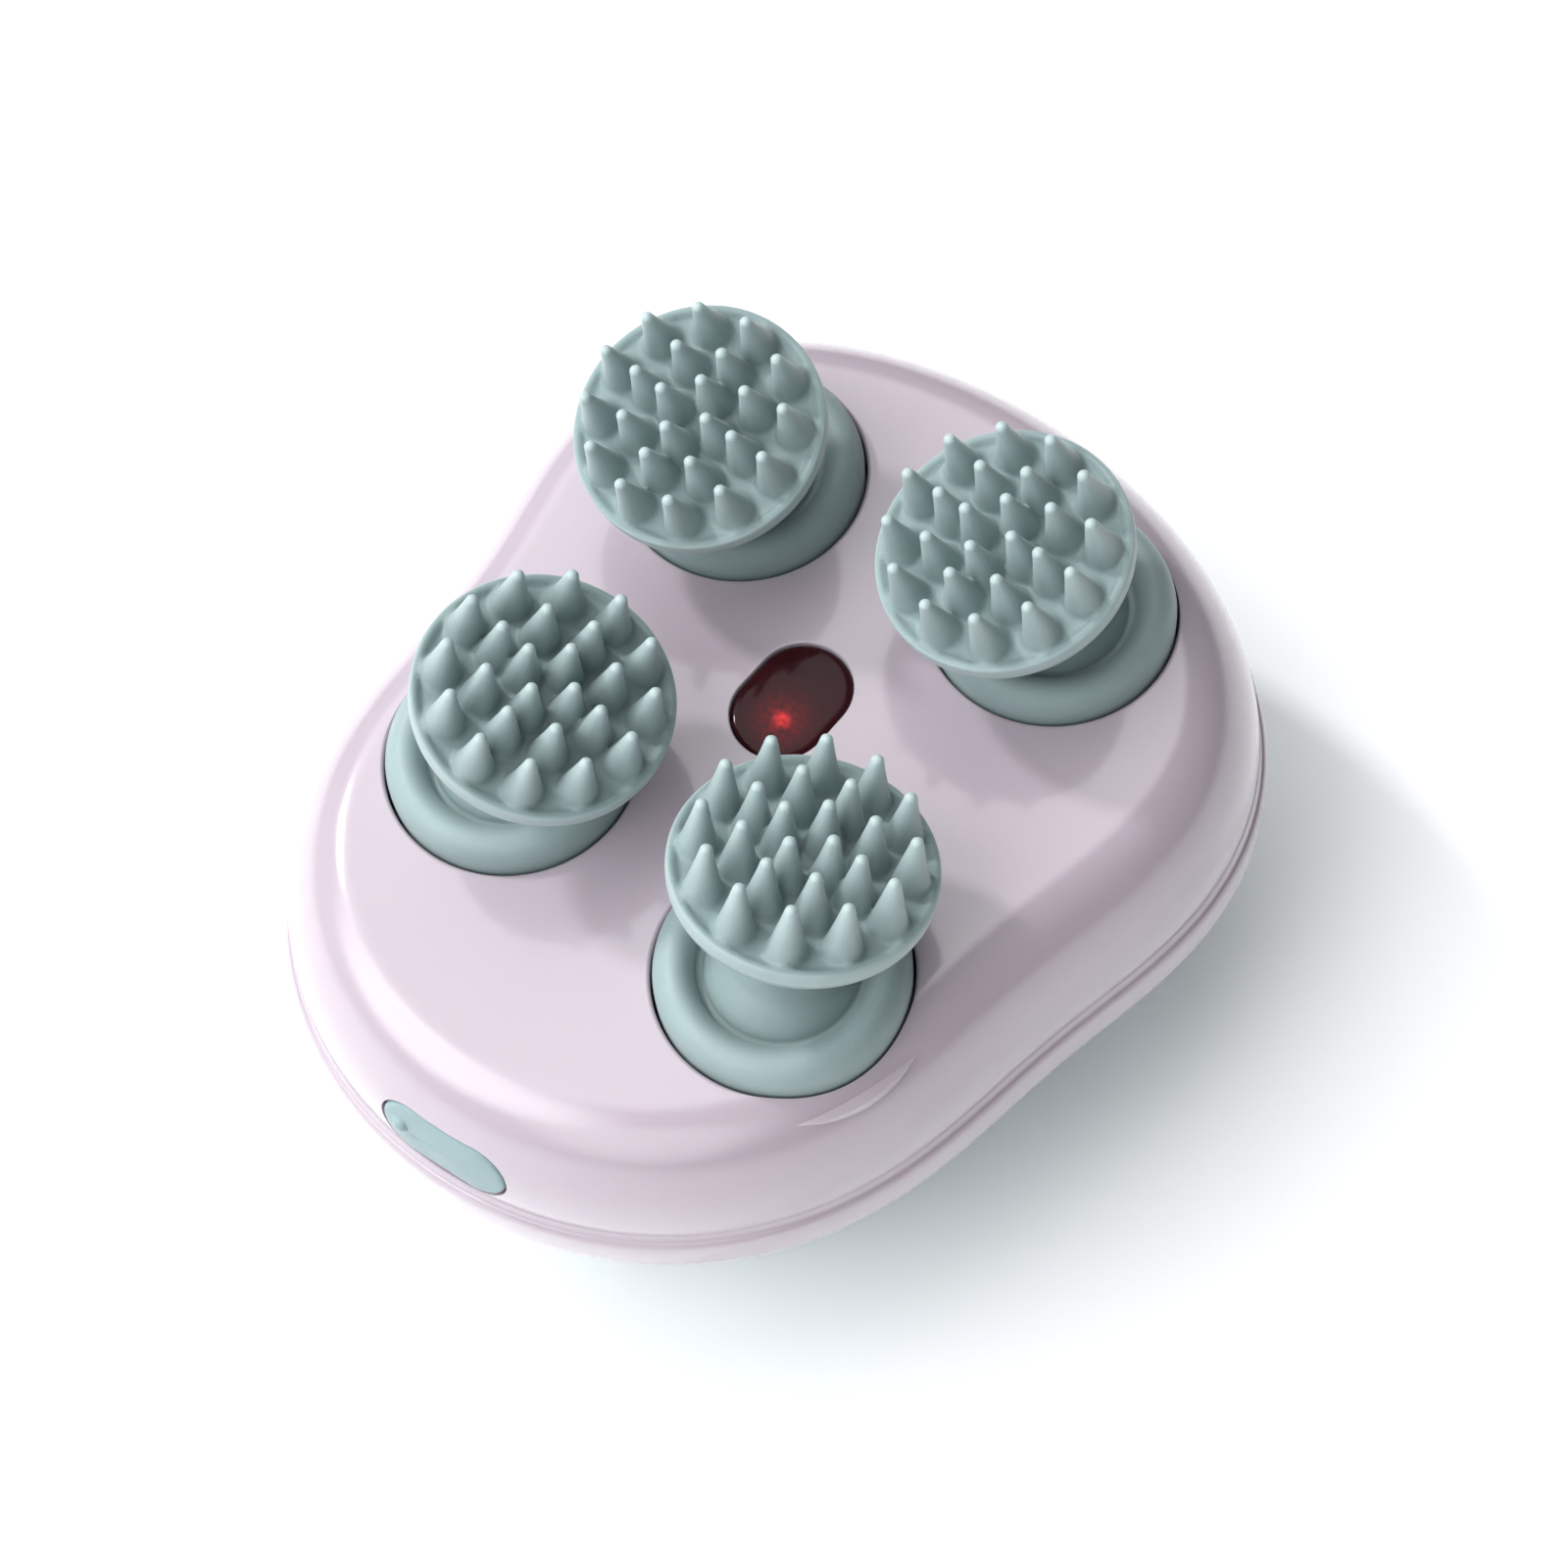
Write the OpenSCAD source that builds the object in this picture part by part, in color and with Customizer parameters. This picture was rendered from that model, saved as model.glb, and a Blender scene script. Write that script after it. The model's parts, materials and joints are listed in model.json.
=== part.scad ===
// Hand-held electric scalp massager: two shells round a central gear drive that makes four
// silicone kneading heads wobble. Millimetres, +Z up, origin under the middle of the body on
// the surface it rests on, heads up, charging port towards -Y.

/* [Body] */
// Width of the body, across the heads
body_w = 96; // [94:1:104]
// Length of the body, from the charging port to the front
body_len = 114; // [112:1:122]
// Height of the top face above the surface that the body rests on
top_z = 50; // [49:0.5:54]
// Height of the seam between the two shells
seam_z = 27; // [26:0.5:28]
// Wall of both shells
wall = 2.4; // [2:0.1:2.8]
// Thickness of the flat top, round the heads
top_wall = 2.8; // [2.2:0.1:3.2]
// How far the shoulder reaches in from the side wall
shoulder_w = 9.5; // [8.5:0.5:10.5]
// Height of the upright band between the seam and the crease above it
band_h = 6.2; // [5:0.2:7]
// Depth of the crease above the band
crease = 0.9; // [0.4:0.1:1.4]
// How far the underside curves in before it lies flat
belly_w = 21; // [18:1:24]
// How far in the slope of the lower shell's side would meet the floor
belly_in = 8.8; // [7:0.2:9.4]
// Share of the mean radius that stretches the outline into an oval
oval = 0.193; // [0.183:0.002:0.197]
// Share of the mean radius that makes the front broader than the back
egg = 0.049; // [0.043:0.002:0.053]
// Share of the mean radius that draws the waist in
waist = 0.016; // [0.012:0.002:0.02]

/* [Massage heads] */
// Bearing of each head from the drive axis, in degrees
head_bearing = [139.7, 61.3, 228.8, 307.9]; // [0:0.1:360]
// Bearing that each head leans to at rest, in degrees
head_lean = [268, 236, 27, 97]; // [0:1:360]
// Lean of a head from the vertical, in degrees
lean = 14; // [10:0.5:14.5]
// Depth of the point that a head wobbles about, below the top face
pivot_depth = 6; // [5.8:0.1:6.4]
// Radius of the opening that a head stands in
opening_r = 14; // [13.8:0.1:14.6]
// Radius of the kneading disc
disc_r = 14; // [12:0.5:14.5]
// Thickness of the kneading disc
disc_t = 2.2; // [1.6:0.2:3]
// Height of the disc's face above the pivot point, along the head's axis
disc_s = 23.1; // [22.6:0.1:24]
// Radius of the neck at its narrowest
neck_r = 6.3; // [6.1:0.1:6.4]
// Outer radius of the dome at the foot of the neck
dome_r = 10.9; // [10.7:0.05:11]
// Thickness of the dome
dome_t = 1.2; // [0.8:0.1:1.6]
// Height of a cone above the disc's face
cone_h = 7.6; // [6:0.2:8.4]
// Radius of a cone at its foot
cone_r = 2.2; // [1.8:0.1:2.5]
// Radius of a cone's rounded tip
tip_r = 0.8; // [0.6:0.1:1]

/* [Collars] */
// Gap between a collar and the edge of its opening
collar_gap = 0.3; // [0.2:0.05:0.6]
// Height of a collar's crest above the top face
collar_h = 3.6; // [3:0.1:4]
// Gap between the dome of a head and its collar
dome_gap = 0.3; // [0.25:0.05:0.5]
// Radius of a collar's inner lip
lip_r = 9; // [8.9:0.05:9.3]
// Height of the ring under the top that a collar's flange bears on
seat_h = 3.8; // [3.6:0.1:4]
// Width of that ring, outside its opening
seat_w = 2.4; // [1.8:0.1:2.8]
// Thickness of a collar's flange
flange_t = 1.4; // [1:0.1:1.6]
// Radius of the flange that holds a collar under the top
flange_r = 15.1; // [14.9:0.05:15.3]

/* [Drive] */
// Module of the gears
gear_module = 0.8; // [0.75:0.01:0.82]
// Teeth on the sun gear
sun_teeth = 36; // [34:1:38]
// Teeth on each output gear
out_teeth = 41; // [39:1:42]
// Thickness of the gears
gear_t = 5; // [4:0.5:5.5]
// Free play between meshing teeth, measured along the pitch circle
backlash = 0.24; // [0.16:0.02:0.3]
// Place of the drive axis
drive_at = [1.5, 4.8]; // [0:0.1:6]
// Thickness of the gear plate under the gears
plate_t = 2.4; // [2:0.2:2.8]
// Thickness of the bearing deck over the gears
deck_t = 2.8; // [2.4:0.2:3.2]
// Gap above and below the gears
gear_gap = 0.8; // [0.6:0.1:1]
// Radius of a hub's journal in the bearing deck
journal_r = 8; // [7:0.2:8.4]
// Radius of a hub's lower stub in the gear plate
stub_r = 3.5; // [3:0.1:4]
// Wall of a hub bush
bush_t = 1.6; // [1.2:0.1:2]
// Radius of a crank pin
pin_r = 3; // [2.6:0.1:3.2]
// Height of a crank pin above the pivot point, along the head's axis
pin_s = 12; // [11:0.5:12.5]
// Outer radius of a head core
core_r = 5; // [4.8:0.1:5.2]
// Running clearance of a shaft in its bore
run = 0.05; // [0.03:0.01:0.08]
// Radius of the motor and of its reduction gearbox
motor_r = 12; // [10:0.5:13]
// Height of the motor can
motor_h = 7; // [6:0.5:8]
// Height of the reduction gearbox
reducer_h = 8; // [7:0.5:9]
// Radius of the drive shaft
shaft_r = 2; // [1.5:0.1:2.5]

/* [Window] */
// Width of the light window
window_w = 11; // [9:0.5:12]
// Length of the light window
window_len = 15; // [13:0.5:17]
// Place of the light window
window_at = [0.8, 5.7]; // [0:0.1:7]
// Radius of the light under the window
led_r = 2.4; // [1.5:0.1:2.5]

/* [Charging port] */
// Bearing of the charging port round the outline, in degrees
port_bearing = 271.7; // [268:0.1:275]
// Height of the port's centre
port_z = 39.1; // [38.8:0.1:40]
// Width of the port cover
cover_w = 16; // [15:0.5:18]
// Height of the port cover
cover_h = 8; // [7:0.2:8.4]
// Thickness of the port cover
cover_t = 1.1; // [0.8:0.1:1.2]
// Depth of the recess that the cover lies in
recess = 1.5; // [1.3:0.1:1.6]
// Gap round the port cover
cover_gap = 0.3; // [0.2:0.05:0.4]

/* [Power button] */
// Radius of the power button
button_r = 8; // [6:0.5:9]
// Depth of the power button below the flat underside
button_sink = 1; // [0.6:0.1:1.2]
// Travel of the power button
button_travel = 0.8; // [0.4:0.1:0.8]

/* [Electronics] */
// Size of the main board
board_size = [46, 56]; // [40:1:60]
// Place of the middle of the main board
board_at = [-0.5, -4]; // [-8:0.5:0]
// Thickness of the main board
board_t = 1.6; // [1:0.2:1.6]
// Height of the main board above the floor of the lower shell
board_lift = 4.2; // [4:0.1:4.4]
// Radius of the battery
battery_r = 7; // [5:0.5:7.2]
// Length of the battery
battery_len = 50; // [44:1:52]
// Place of the middle of the battery
battery_at = [-0.5, -26]; // [-28:0.5:0]

/* [Fasteners] */
// Bearings of the case screws, in degrees
case_bearing = [2, 90, 176, 243, 288]; // [0:1:360]
// Bearings of the deck screws, in degrees
deck_bearing = [30, 102, 189, 257]; // [0:1:360]
// How far in from the outline the screws stand
screw_inset = 10; // [9.6:0.1:10.4]
// Radius of the screw bosses
boss_r = 3.1; // [2.8:0.1:3.2]
// Radius of a screw's shank
screw_r = 1.2; // [1:0.1:1.4]
// Radius of a screw's head
screw_head_r = 2.4; // [2:0.1:2.6]
// Height of a screw's head
screw_head_h = 1.5; // [1.2:0.1:1.8]

/* [Hidden] */
$fn = 64;
around = 72;

pink = [0.86, 0.80, 0.85];
pale_teal = [0.74, 0.82, 0.83];
sage = [0.62, 0.70, 0.70];
steel = [0.75, 0.76, 0.78];

seam_gap = 0.4;
floor_z = wall;
plate_z = seam_z - plate_t;
gear_z = seam_z + gear_gap;
deck_z = gear_z + gear_t + gear_gap;
deck_top = deck_z + deck_t;
hub_top = deck_top + 0.8;
pivot_z = top_z - pivot_depth;
ceiling_z = top_z - top_wall;
seat_z = ceiling_z - seat_h;
board_z = floor_z + board_lift;
board_top = board_z + board_t;
orbit_r = gear_module * (sun_teeth + out_teeth) / 2;
sun_r = gear_module * sun_teeth / 2;
out_r = gear_module * out_teeth / 2;
heads = [for (b = head_bearing) drive_at + orbit_r * [cos(b), sin(b)]];

// ---- outline of the body -----------------------------------------------------------------

// Unit outline: an oval, broader at the front, with a waist.
function unit_r(a) = 1 - oval * cos(2 * (a + 1.8)) + egg * cos(3 * (a - 26.5))
    - waist * cos(4 * (a - 7));
function unit_at(a) = unit_r(a) * [cos(a), sin(a)];
unit_ring = [for (i = [0 : 719]) unit_at(i / 2)];
unit_low = [min([for (p = unit_ring) p.x]), min([for (p = unit_ring) p.y])];
unit_high = [max([for (p = unit_ring) p.x]), max([for (p = unit_ring) p.y])];
unit_mid = (unit_low + unit_high) / 2;
unit_size = unit_high - unit_low;

// Point of the outline on a bearing, and the outward normal there.
function outline_at(a) = let (p = unit_at(a) - unit_mid)
    [p.x * body_w / unit_size.x, p.y * body_len / unit_size.y];
function normal_at(a) = let (t = outline_at(a + 0.5) - outline_at(a - 0.5))
    [t.y, -t.x] / norm(t);
function inset_at(a, d) = outline_at(a) - d * normal_at(a);
function ring(d, z) = [for (i = [0 : around - 1])
    let (p = inset_at(i * 360 / around, d)) [p.x, p.y, z]];
function flat_ring(d) = [for (p = ring(d, 0)) [p.x, p.y]];

case_at = [for (b = case_bearing) inset_at(b, screw_inset)];
deck_at = [for (b = deck_bearing) inset_at(b, screw_inset)];

// ---- section of the shells, as [inset, height] ----------------------------------------------

crease_z = seam_z + band_h;
shoulder_d = crease + 0.3;
shoulder_z = crease_z + 0.8;
shoulder_h = top_z - shoulder_z;
function shoulder(u) = [shoulder_d + shoulder_w * (1 - cos(u)), shoulder_z + shoulder_h * sin(u)];
upper_section = concat(
    [[0.35, seam_z + seam_gap / 2], [0.05, seam_z + 1], [0, seam_z + 2.4],
     [0.15, crease_z - 1.2], [0.5, crease_z - 0.35], [crease, crease_z]],
    [for (u = [0 : 15 : 90]) shoulder(u)]);
belly_z = seam_z - 1;
function belly(t) = [(1 - t) * (1 - t) * 0.7 + 2 * t * (1 - t) * belly_in + t * t * belly_w,
    (1 - t) * (1 - t) * belly_z];
lower_section = concat([[0.6, seam_z - seam_gap / 2]], [for (t = [0 : 0.1 : 1]) belly(t)]);

// A section, from the rim to the middle, moved t into the material: the rim straight in, the
// middle by flat_t up or down, and the rest at right angles to the surface.
function moved(s, t, flat_t) = let (last = len(s) - 1, up = s[last].y > s[0].y ? 1 : -1)
    [for (i = [0 : last]) let (v = s[min(i + 1, last)] - s[max(i - 1, 0)])
        i == 0 ? s[0] + [t, 0] : i == last ? s[last] - [0, up * flat_t]
        : s[i] + t * up * [v.y, -v.x] / norm(v)];
function reversed(s) = [for (i = [len(s) - 1 : -1 : 0]) s[i]];

// A closed solid through rings of the outline. Each level is [inset, height]; the first and the
// last are closed across the middle, and the first is the outer one.
module loft(levels) {
    rings = len(levels);
    centre = rings * around;
    down = levels[0].y > levels[rings - 1].y;
    function turned(f) = down ? f : [f[2], f[1], f[0]];
    polyhedron(
        concat([for (l = levels) each ring(l.x, l.y)],
            [[0, 0, levels[0].y], [0, 0, levels[rings - 1].y]]),
        concat(
            [for (i = [0 : around - 1]) turned([centre, (i + 1) % around, i])],
            [for (k = [0 : rings - 2]) for (i = [0 : around - 1]) each
                let (j = (i + 1) % around, p = k * around)
                [turned([p + i, p + j, p + around + j]),
                 turned([p + i, p + around + j, p + around + i])]],
            [for (i = [0 : around - 1]) let (p = (rings - 1) * around)
                turned([centre + 1, p + i, p + (i + 1) % around])]));
}

// A shell of even wall, open at its rim.
module shell_solid(section, lining) loft(concat(reversed(section), lining));

// All that lies inside a shell's surface, t below it, to trim what stands in the shell.
module inside(section, t) loft(reversed(moved(section, t, t)));

upper_lining = moved(concat([[0.2, seam_z + seam_gap / 2], [0.1, seam_z + 3]],
    [for (u = [0 : 15 : 90]) shoulder(u)]), wall, top_wall);
lower_lining = moved(lower_section, wall, wall);
upper_trim = [for (u = [0 : 30 : 90]) shoulder(u)];
lower_trim = [for (t = [0 : 0.25 : 1]) belly(t)];
port_band = [for (u = [0 : 15 : 45]) shoulder(u)];

// ---- small shared shapes ---------------------------------------------------------------------

module at(p, z = 0) translate([p.x, p.y, z]) children();

// A flat bar with round ends, w by h, standing on the plane z = 0.
module stadium(w, h, t) {
    linear_extrude(t) {
        square([w - h, h], center = true);
        for (side = [-1, 1]) translate([side * (w - h) / 2, 0]) circle(d = h);
    }
}

// Puts its children in a head's frame: +Z along the head's axis, origin at its pivot point.
module on_head(k) {
    at(heads[k], pivot_z) rotate([0, 0, head_lean[k]]) rotate([0, lean, 0])
        rotate([0, 0, -head_lean[k]]) children();
}

// Points of an arc, for sections.
function arc(c, r, a0, a1, n) = [for (i = [0 : n])
    let (a = a0 + (a1 - a0) * i / n) c + r * [cos(a), sin(a)]];

// ---- gears -------------------------------------------------------------------------------------

// Flank of a tooth: the angle of the tooth's side from its middle at radius r.
function inv(a) = tan(a) * 180 / PI - a;
pressure = 20;
function half_angle(teeth, r) = let (
    pitch = gear_module * teeth / 2, base = pitch * cos(pressure))
    (90 / teeth) - backlash / 2 / pitch * 180 / PI / 2 + inv(pressure)
    - (r <= base ? 0 : inv(acos(base / r)));
function tooth(teeth, a) = let (
    pitch = gear_module * teeth / 2, tip = pitch + gear_module, root = pitch - 1.25 * gear_module,
    steps = [root, pitch - 0.5 * gear_module, pitch + 0.3 * gear_module, tip])
    concat([for (r = steps) let (b = a - half_angle(teeth, r)) r * [cos(b), sin(b)]],
        [for (i = [3 : -1 : 0]) let (r = steps[i], b = a + half_angle(teeth, r))
            r * [cos(b), sin(b)]]);
module gear(teeth, turn) {
    linear_extrude(gear_t)
        polygon([for (i = [0 : teeth - 1]) each tooth(teeth, turn + i * 360 / teeth)]);
}

// Turn of output gear k that seats its teeth between those of the sun gear.
function out_turn(k) = let (b = head_bearing[k], u = b * sun_teeth / 360)
    b + 180 - (0.5 - u) * 360 / out_teeth;

// ---- shells ------------------------------------------------------------------------------------

// Frame of the charging port: +Z out of the wall, +X along it, origin on the outside.
port_u = asin((port_z - shoulder_z) / shoulder_h);
port_slope = atan(shoulder_w * sin(port_u) / (shoulder_h * cos(port_u)));
port_at = inset_at(port_bearing, shoulder(port_u).x);
port_turn = atan2(normal_at(port_bearing).y, normal_at(port_bearing).x) + 90;
module on_port() {
    at(port_at, port_z) rotate([0, 0, port_turn]) rotate([90 - port_slope, 0, 0]) children();
}
// The same place, but level, for what a plug goes into.
module on_plug() {
    at(port_at, port_z) rotate([0, 0, port_turn]) rotate([90, 0, 0]) children();
}

module upper_shell() {
    color(pink) difference() {
        union() {
            shell_solid(upper_section, upper_lining);
            intersection() {
                union() {
                    for (p = case_at) at(p, seam_z + seam_gap / 2) cylinder(r = boss_r, h = top_z);
                    for (p = heads) at(p, seat_z) cylinder(r = opening_r + seat_w, h = top_z);
                }
                union() {
                    inside(upper_trim, wall / 2);
                    translate([-body_w / 2, -body_len / 2, 0])
                        cube([body_w, body_len, shoulder_z + 1]);
                }
            }
        }
        for (p = heads) at(p, deck_top) cylinder(r = opening_r, h = top_z);
        at(window_at, ceiling_z - 1) rotate([0, 0, 90]) stadium(window_len, window_w, top_wall + 2);
        for (p = case_at) at(p, seam_z) cylinder(r = screw_r, h = case_screw_top - seam_z);
        difference() {
            on_port() translate([0, 0, -2 * wall])
                stadium(cover_w + 2 * cover_gap, cover_h + 2 * cover_gap, 2 * wall + 3);
            inside(port_band, recess);
        }
        on_plug() translate([0, 0, -2 * wall - 1]) stadium(mouth_w, mouth_h, 2 * wall + 1);
    }
}

module lower_shell() {
    color(pale_teal) difference() {
        union() {
            shell_solid(lower_section, lower_lining);
            intersection() {
                union() {
                    for (p = case_at) at(p) cylinder(r = boss_r, h = seam_z - seam_gap / 2);
                    for (p = deck_at) at(p) cylinder(r = boss_r, h = plate_z);
                    for (p = board_holes) at(p) cylinder(r = 2.2, h = board_z);
                }
                union() {
                    inside(lower_trim, wall / 2);
                    translate([-body_w / 2, -body_len / 2, belly_z - 1])
                        cube([body_w, body_len, seam_z]);
                }
            }
        }
        translate([0, 0, -1]) cylinder(r = button_r + cover_gap, h = floor_z + 2);
        for (p = case_at) {
            at(p, -1) cylinder(r = screw_head_r + 0.3, h = case_seat + 1);
            at(p, -1) cylinder(r = screw_r, h = seam_z + 2);
        }
        for (p = deck_at) at(p, deck_screw_end) cylinder(r = screw_r, h = seam_z);
        for (p = board_holes) at(p, floor_z) cylinder(r = 1, h = seam_z);
    }
}

module seam_gasket() {
    color("dimgray") translate([0, 0, seam_z - seam_gap / 2]) linear_extrude(seam_gap)
        difference() {
            polygon(flat_ring(1));
            polygon(flat_ring(wall + 0.2));
        }
}

// ---- heads -------------------------------------------------------------------------------------

cone_rings = [[12, 0.78], [8, 0.478], [4, 0.222]];
cone_section = concat([[0, -0.5], [cone_r, -0.5], [cone_r, 0], [cone_r * 0.86, cone_h * 0.2],
    [cone_r * 0.70, cone_h * 0.45], [tip_r + 0.12, cone_h - tip_r * 1.6]],
    arc([0, cone_h - tip_r], tip_r, 15, 90, 4));
module cone() rotate_extrude($fn = 32) polygon(cone_section);

core_top = pin_s + 4.5;
sleeve_s = 4;
rim = 0.5;
head_section = concat(
    [[core_r, sleeve_s], [core_r + 1.2, sleeve_s],
     [core_r + 1.2, sqrt(pow(dome_r - dome_t, 2) - pow(core_r + 1.2, 2))]],
    [for (a = [44 : 8 : 68]) (dome_r - dome_t) * [sin(a), cos(a)]],
    [for (a = [68 : -4 : 40]) dome_r * [sin(a), cos(a)]],
    [[neck_r + 0.4, 9.2], [neck_r + 0.1, 10.2], [neck_r, 11.6], [neck_r + 0.1, 13.6],
     [neck_r + 0.7, 16.2], [neck_r + 1.9, 18.6], [neck_r + 3.6, disc_s - disc_t - 0.6],
     [neck_r + 5, disc_s - disc_t - 0.2], [disc_r - 0.8, disc_s - disc_t],
     [disc_r - 0.2, disc_s - disc_t + 0.3], [disc_r, disc_s - disc_t + 1],
     [disc_r, disc_s + rim - 0.3], [disc_r - 0.3, disc_s + rim], [disc_r - 0.6, disc_s + rim - 0.1],
     [disc_r - 1.1, disc_s], [0, disc_s], [0, core_top], [core_r, core_top]]);
module massage_head(k) {
    color(sage) on_head(k) {
        rotate_extrude() polygon(head_section);
        for (row = cone_rings) for (i = [1 : row[0]])
            rotate([0, 0, i * 360 / row[0]]) translate([row[1] * disc_r, 0, disc_s]) cone();
    }
}

collar_r = opening_r - collar_gap;
collar_mid = (collar_r + lip_r) / 2;
collar_half = (collar_r - lip_r) / 2;
flange_s = seat_z - pivot_z;
collar_section = concat(
    [[lip_r - 1, flange_s - flange_t], [flange_r, flange_s - flange_t], [flange_r, flange_s],
     [collar_r, flange_s]],
    [for (a = [0 : 15 : 165]) [collar_mid + collar_half * cos(a),
        pivot_depth + 0.3 + (collar_h - 0.3) * sin(a)]],
    [[lip_r, pivot_depth + 0.6], [lip_r - 1, pivot_depth]]);
module head_collar(k) {
    color(sage) at(heads[k], pivot_z) difference() {
        rotate_extrude() polygon(collar_section);
        sphere(r = dome_r + dome_gap);
    }
}

core_s = (hub_top + 0.2 - pivot_z + core_r * sin(lean)) / cos(lean);
module head_core(k) {
    color("white") on_head(k) difference() {
        translate([0, 0, core_s]) cylinder(r = core_r, h = core_top - core_s);
        translate([0, 0, core_s - 1]) cylinder(r = pin_r + run, h = pin_s - 0.2 - core_s + 1);
        translate([0, 0, pin_s - 0.2]) cylinder(r = core_r - 0.8, h = 3.2);
    }
}

// ---- drive -------------------------------------------------------------------------------------

pin_foot = (hub_top - 2 - pivot_z) / cos(lean);
pin_bore = 8;
washer_t = 0.8;
web_holes = 6;
module crank_hub(k) {
    color("ivory") difference() {
        union() {
            at(heads[k], gear_z) gear(out_teeth, out_turn(k));
            at(heads[k], plate_z) cylinder(r = stub_r, h = gear_z - plate_z + 1);
            at(heads[k], gear_z) cylinder(r = journal_r, h = hub_top - gear_z);
            on_head(k) translate([0, 0, pin_foot]) cylinder(r = pin_r, h = pin_s - pin_foot);
        }
        on_head(k) translate([0, 0, pin_s - pin_bore]) cylinder(r = screw_r, h = pin_bore + 1);
        at(heads[k], gear_z) for (i = [1 : web_holes]) rotate([0, 0, i * 360 / web_holes])
            translate([(journal_r + out_r) / 2, 0, -1])
                cylinder(r = (out_r - journal_r) * 0.28, h = gear_t + 2);
    }
}

module crank_screw(k) {
    color(steel) on_head(k) translate([0, 0, pin_s]) {
        translate([0, 0, 0.5 - pin_bore]) cylinder(r = screw_r, h = pin_bore);
        cylinder(r = core_r - 1.1, h = washer_t);
        cylinder(r = screw_head_r, h = washer_t + screw_head_h);
    }
}

module hub_bush(k) {
    color("goldenrod") at(heads[k], gear_z + gear_t + 0.3) difference() {
        cylinder(r = journal_r + run + bush_t, h = deck_top - gear_z - gear_t - 0.3);
        translate([0, 0, -1]) cylinder(r = journal_r + run, h = deck_t + 5);
    }
}

module sun_gear() {
    color("ivory") at(drive_at, gear_z) difference() {
        gear(sun_teeth, 0);
        translate([0, 0, -1]) cylinder(r = shaft_r, h = gear_t + 2);
        for (i = [0 : 5]) rotate([0, 0, i * 60]) translate([sun_r * 0.55, 0, -1])
            cylinder(r = sun_r * 0.17, h = gear_t + 2);
    }
}

module drive_shaft() {
    color(steel) at(drive_at, plate_z - reducer_h + 1)
        cylinder(r = shaft_r, h = deck_top - 0.2 - (plate_z - reducer_h + 1));
}

reducer_boss_r = 5.5;
module gear_reducer() {
    color("silver") at(drive_at, plate_z - reducer_h) difference() {
        union() {
            cylinder(r = motor_r, h = reducer_h);
            cylinder(r = reducer_boss_r, h = reducer_h + plate_t);
        }
        translate([0, 0, 0.8]) cylinder(r = shaft_r + run, h = reducer_h + plate_t);
    }
}

module motor() {
    color("dimgray") at(drive_at, plate_z - reducer_h - motor_h) {
        cylinder(r = motor_r, h = motor_h);
        translate([0, 0, -0.6]) cylinder(r = 4, h = 1);
    }
}

plate_inset = 6;
module gear_plate() {
    color("gainsboro") translate([0, 0, plate_z]) difference() {
        linear_extrude(plate_t) polygon(flat_ring(plate_inset));
        for (p = heads) at(p, -1) cylinder(r = stub_r + run, h = plate_t + 2);
        at(drive_at, -1) cylinder(r = reducer_boss_r, h = plate_t + 2);
        for (p = case_at) at(p, -1) cylinder(r = boss_r + 0.6, h = plate_t + 2);
        for (p = deck_at) at(p, -1) cylinder(r = screw_r, h = plate_t + 2);
    }
}

module bearing_deck() {
    color("gainsboro") difference() {
        union() {
            translate([0, 0, deck_z]) linear_extrude(deck_t) polygon(flat_ring(plate_inset + 0.5));
            for (p = deck_at) at(p, seam_z) cylinder(r = boss_r, h = deck_z - seam_z + 1);
            for (x = [-1, 1]) at(charge_board_at + [x * 4, 0], deck_top - 1)
                cylinder(r = 1.6, h = charge_board_z - deck_top + 1);
            for (y = [-1, 1]) at(window_at + [0, y * led_board.y * 0.4], deck_top - 1)
                cylinder(r = 1.5, h = led_board_top - led_board.z - deck_top + 1);
        }
        for (p = heads) at(p, deck_z - 1) cylinder(r = journal_r + run + bush_t, h = deck_t + 2);
        at(drive_at, deck_z - 1) cylinder(r = shaft_r + run, h = deck_t + 2);
        for (p = case_at) at(p, deck_z - 1) cylinder(r = boss_r + 0.6, h = deck_t + 2);
        for (p = deck_at) at(p, seam_z - 1) cylinder(r = screw_r, h = deck_top);
    }
}

// ---- electronics -------------------------------------------------------------------------------

board_screw_h = 1.2;
battery_z = board_top + board_screw_h + 0.2 + battery_r;
module battery() {
    color("mediumseagreen") at(battery_at, battery_z) rotate([0, 90, 0]) {
        translate([0, 0, -battery_len / 2]) cylinder(r = battery_r, h = battery_len);
        cylinder(r = battery_r * 0.35, h = battery_len / 2 + 1);
    }
}

module battery_cradle() {
    color("white") difference() {
        for (x = [-1, 1])
            translate([battery_at.x + x * battery_len * 0.25 - 2, battery_at.y - battery_r - 1.5,
                       board_top])
                cube([4, 2 * battery_r + 3, battery_r * 1.1]);
        at(battery_at, battery_z) rotate([0, 90, 0])
            cylinder(r = battery_r, h = battery_len, center = true);
    }
}

board_holes = [for (x = [-1, 1]) for (y = [-1, 1])
    board_at + [x * (board_size.x / 2 - 3.5), y * (board_size.y / 2 - 3.5)]];
module main_board() {
    color("seagreen") difference() {
        translate([board_at.x - board_size.x / 2, board_at.y - board_size.y / 2, board_z])
            cube([board_size.x, board_size.y, board_t]);
        for (p = board_holes) at(p, board_z - 1) cylinder(r = 1, h = board_t + 2);
    }
}

switch_w = 6;
switch_h = 1.6;
module tact_switch() {
    color("black") difference() {
        translate([-switch_w / 2, -switch_w / 2, board_z - switch_h])
            cube([switch_w, switch_w, switch_h]);
        translate([0, 0, board_z - switch_h - 1]) cylinder(r = 1.9, h = switch_h + 0.8);
    }
}

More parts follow.
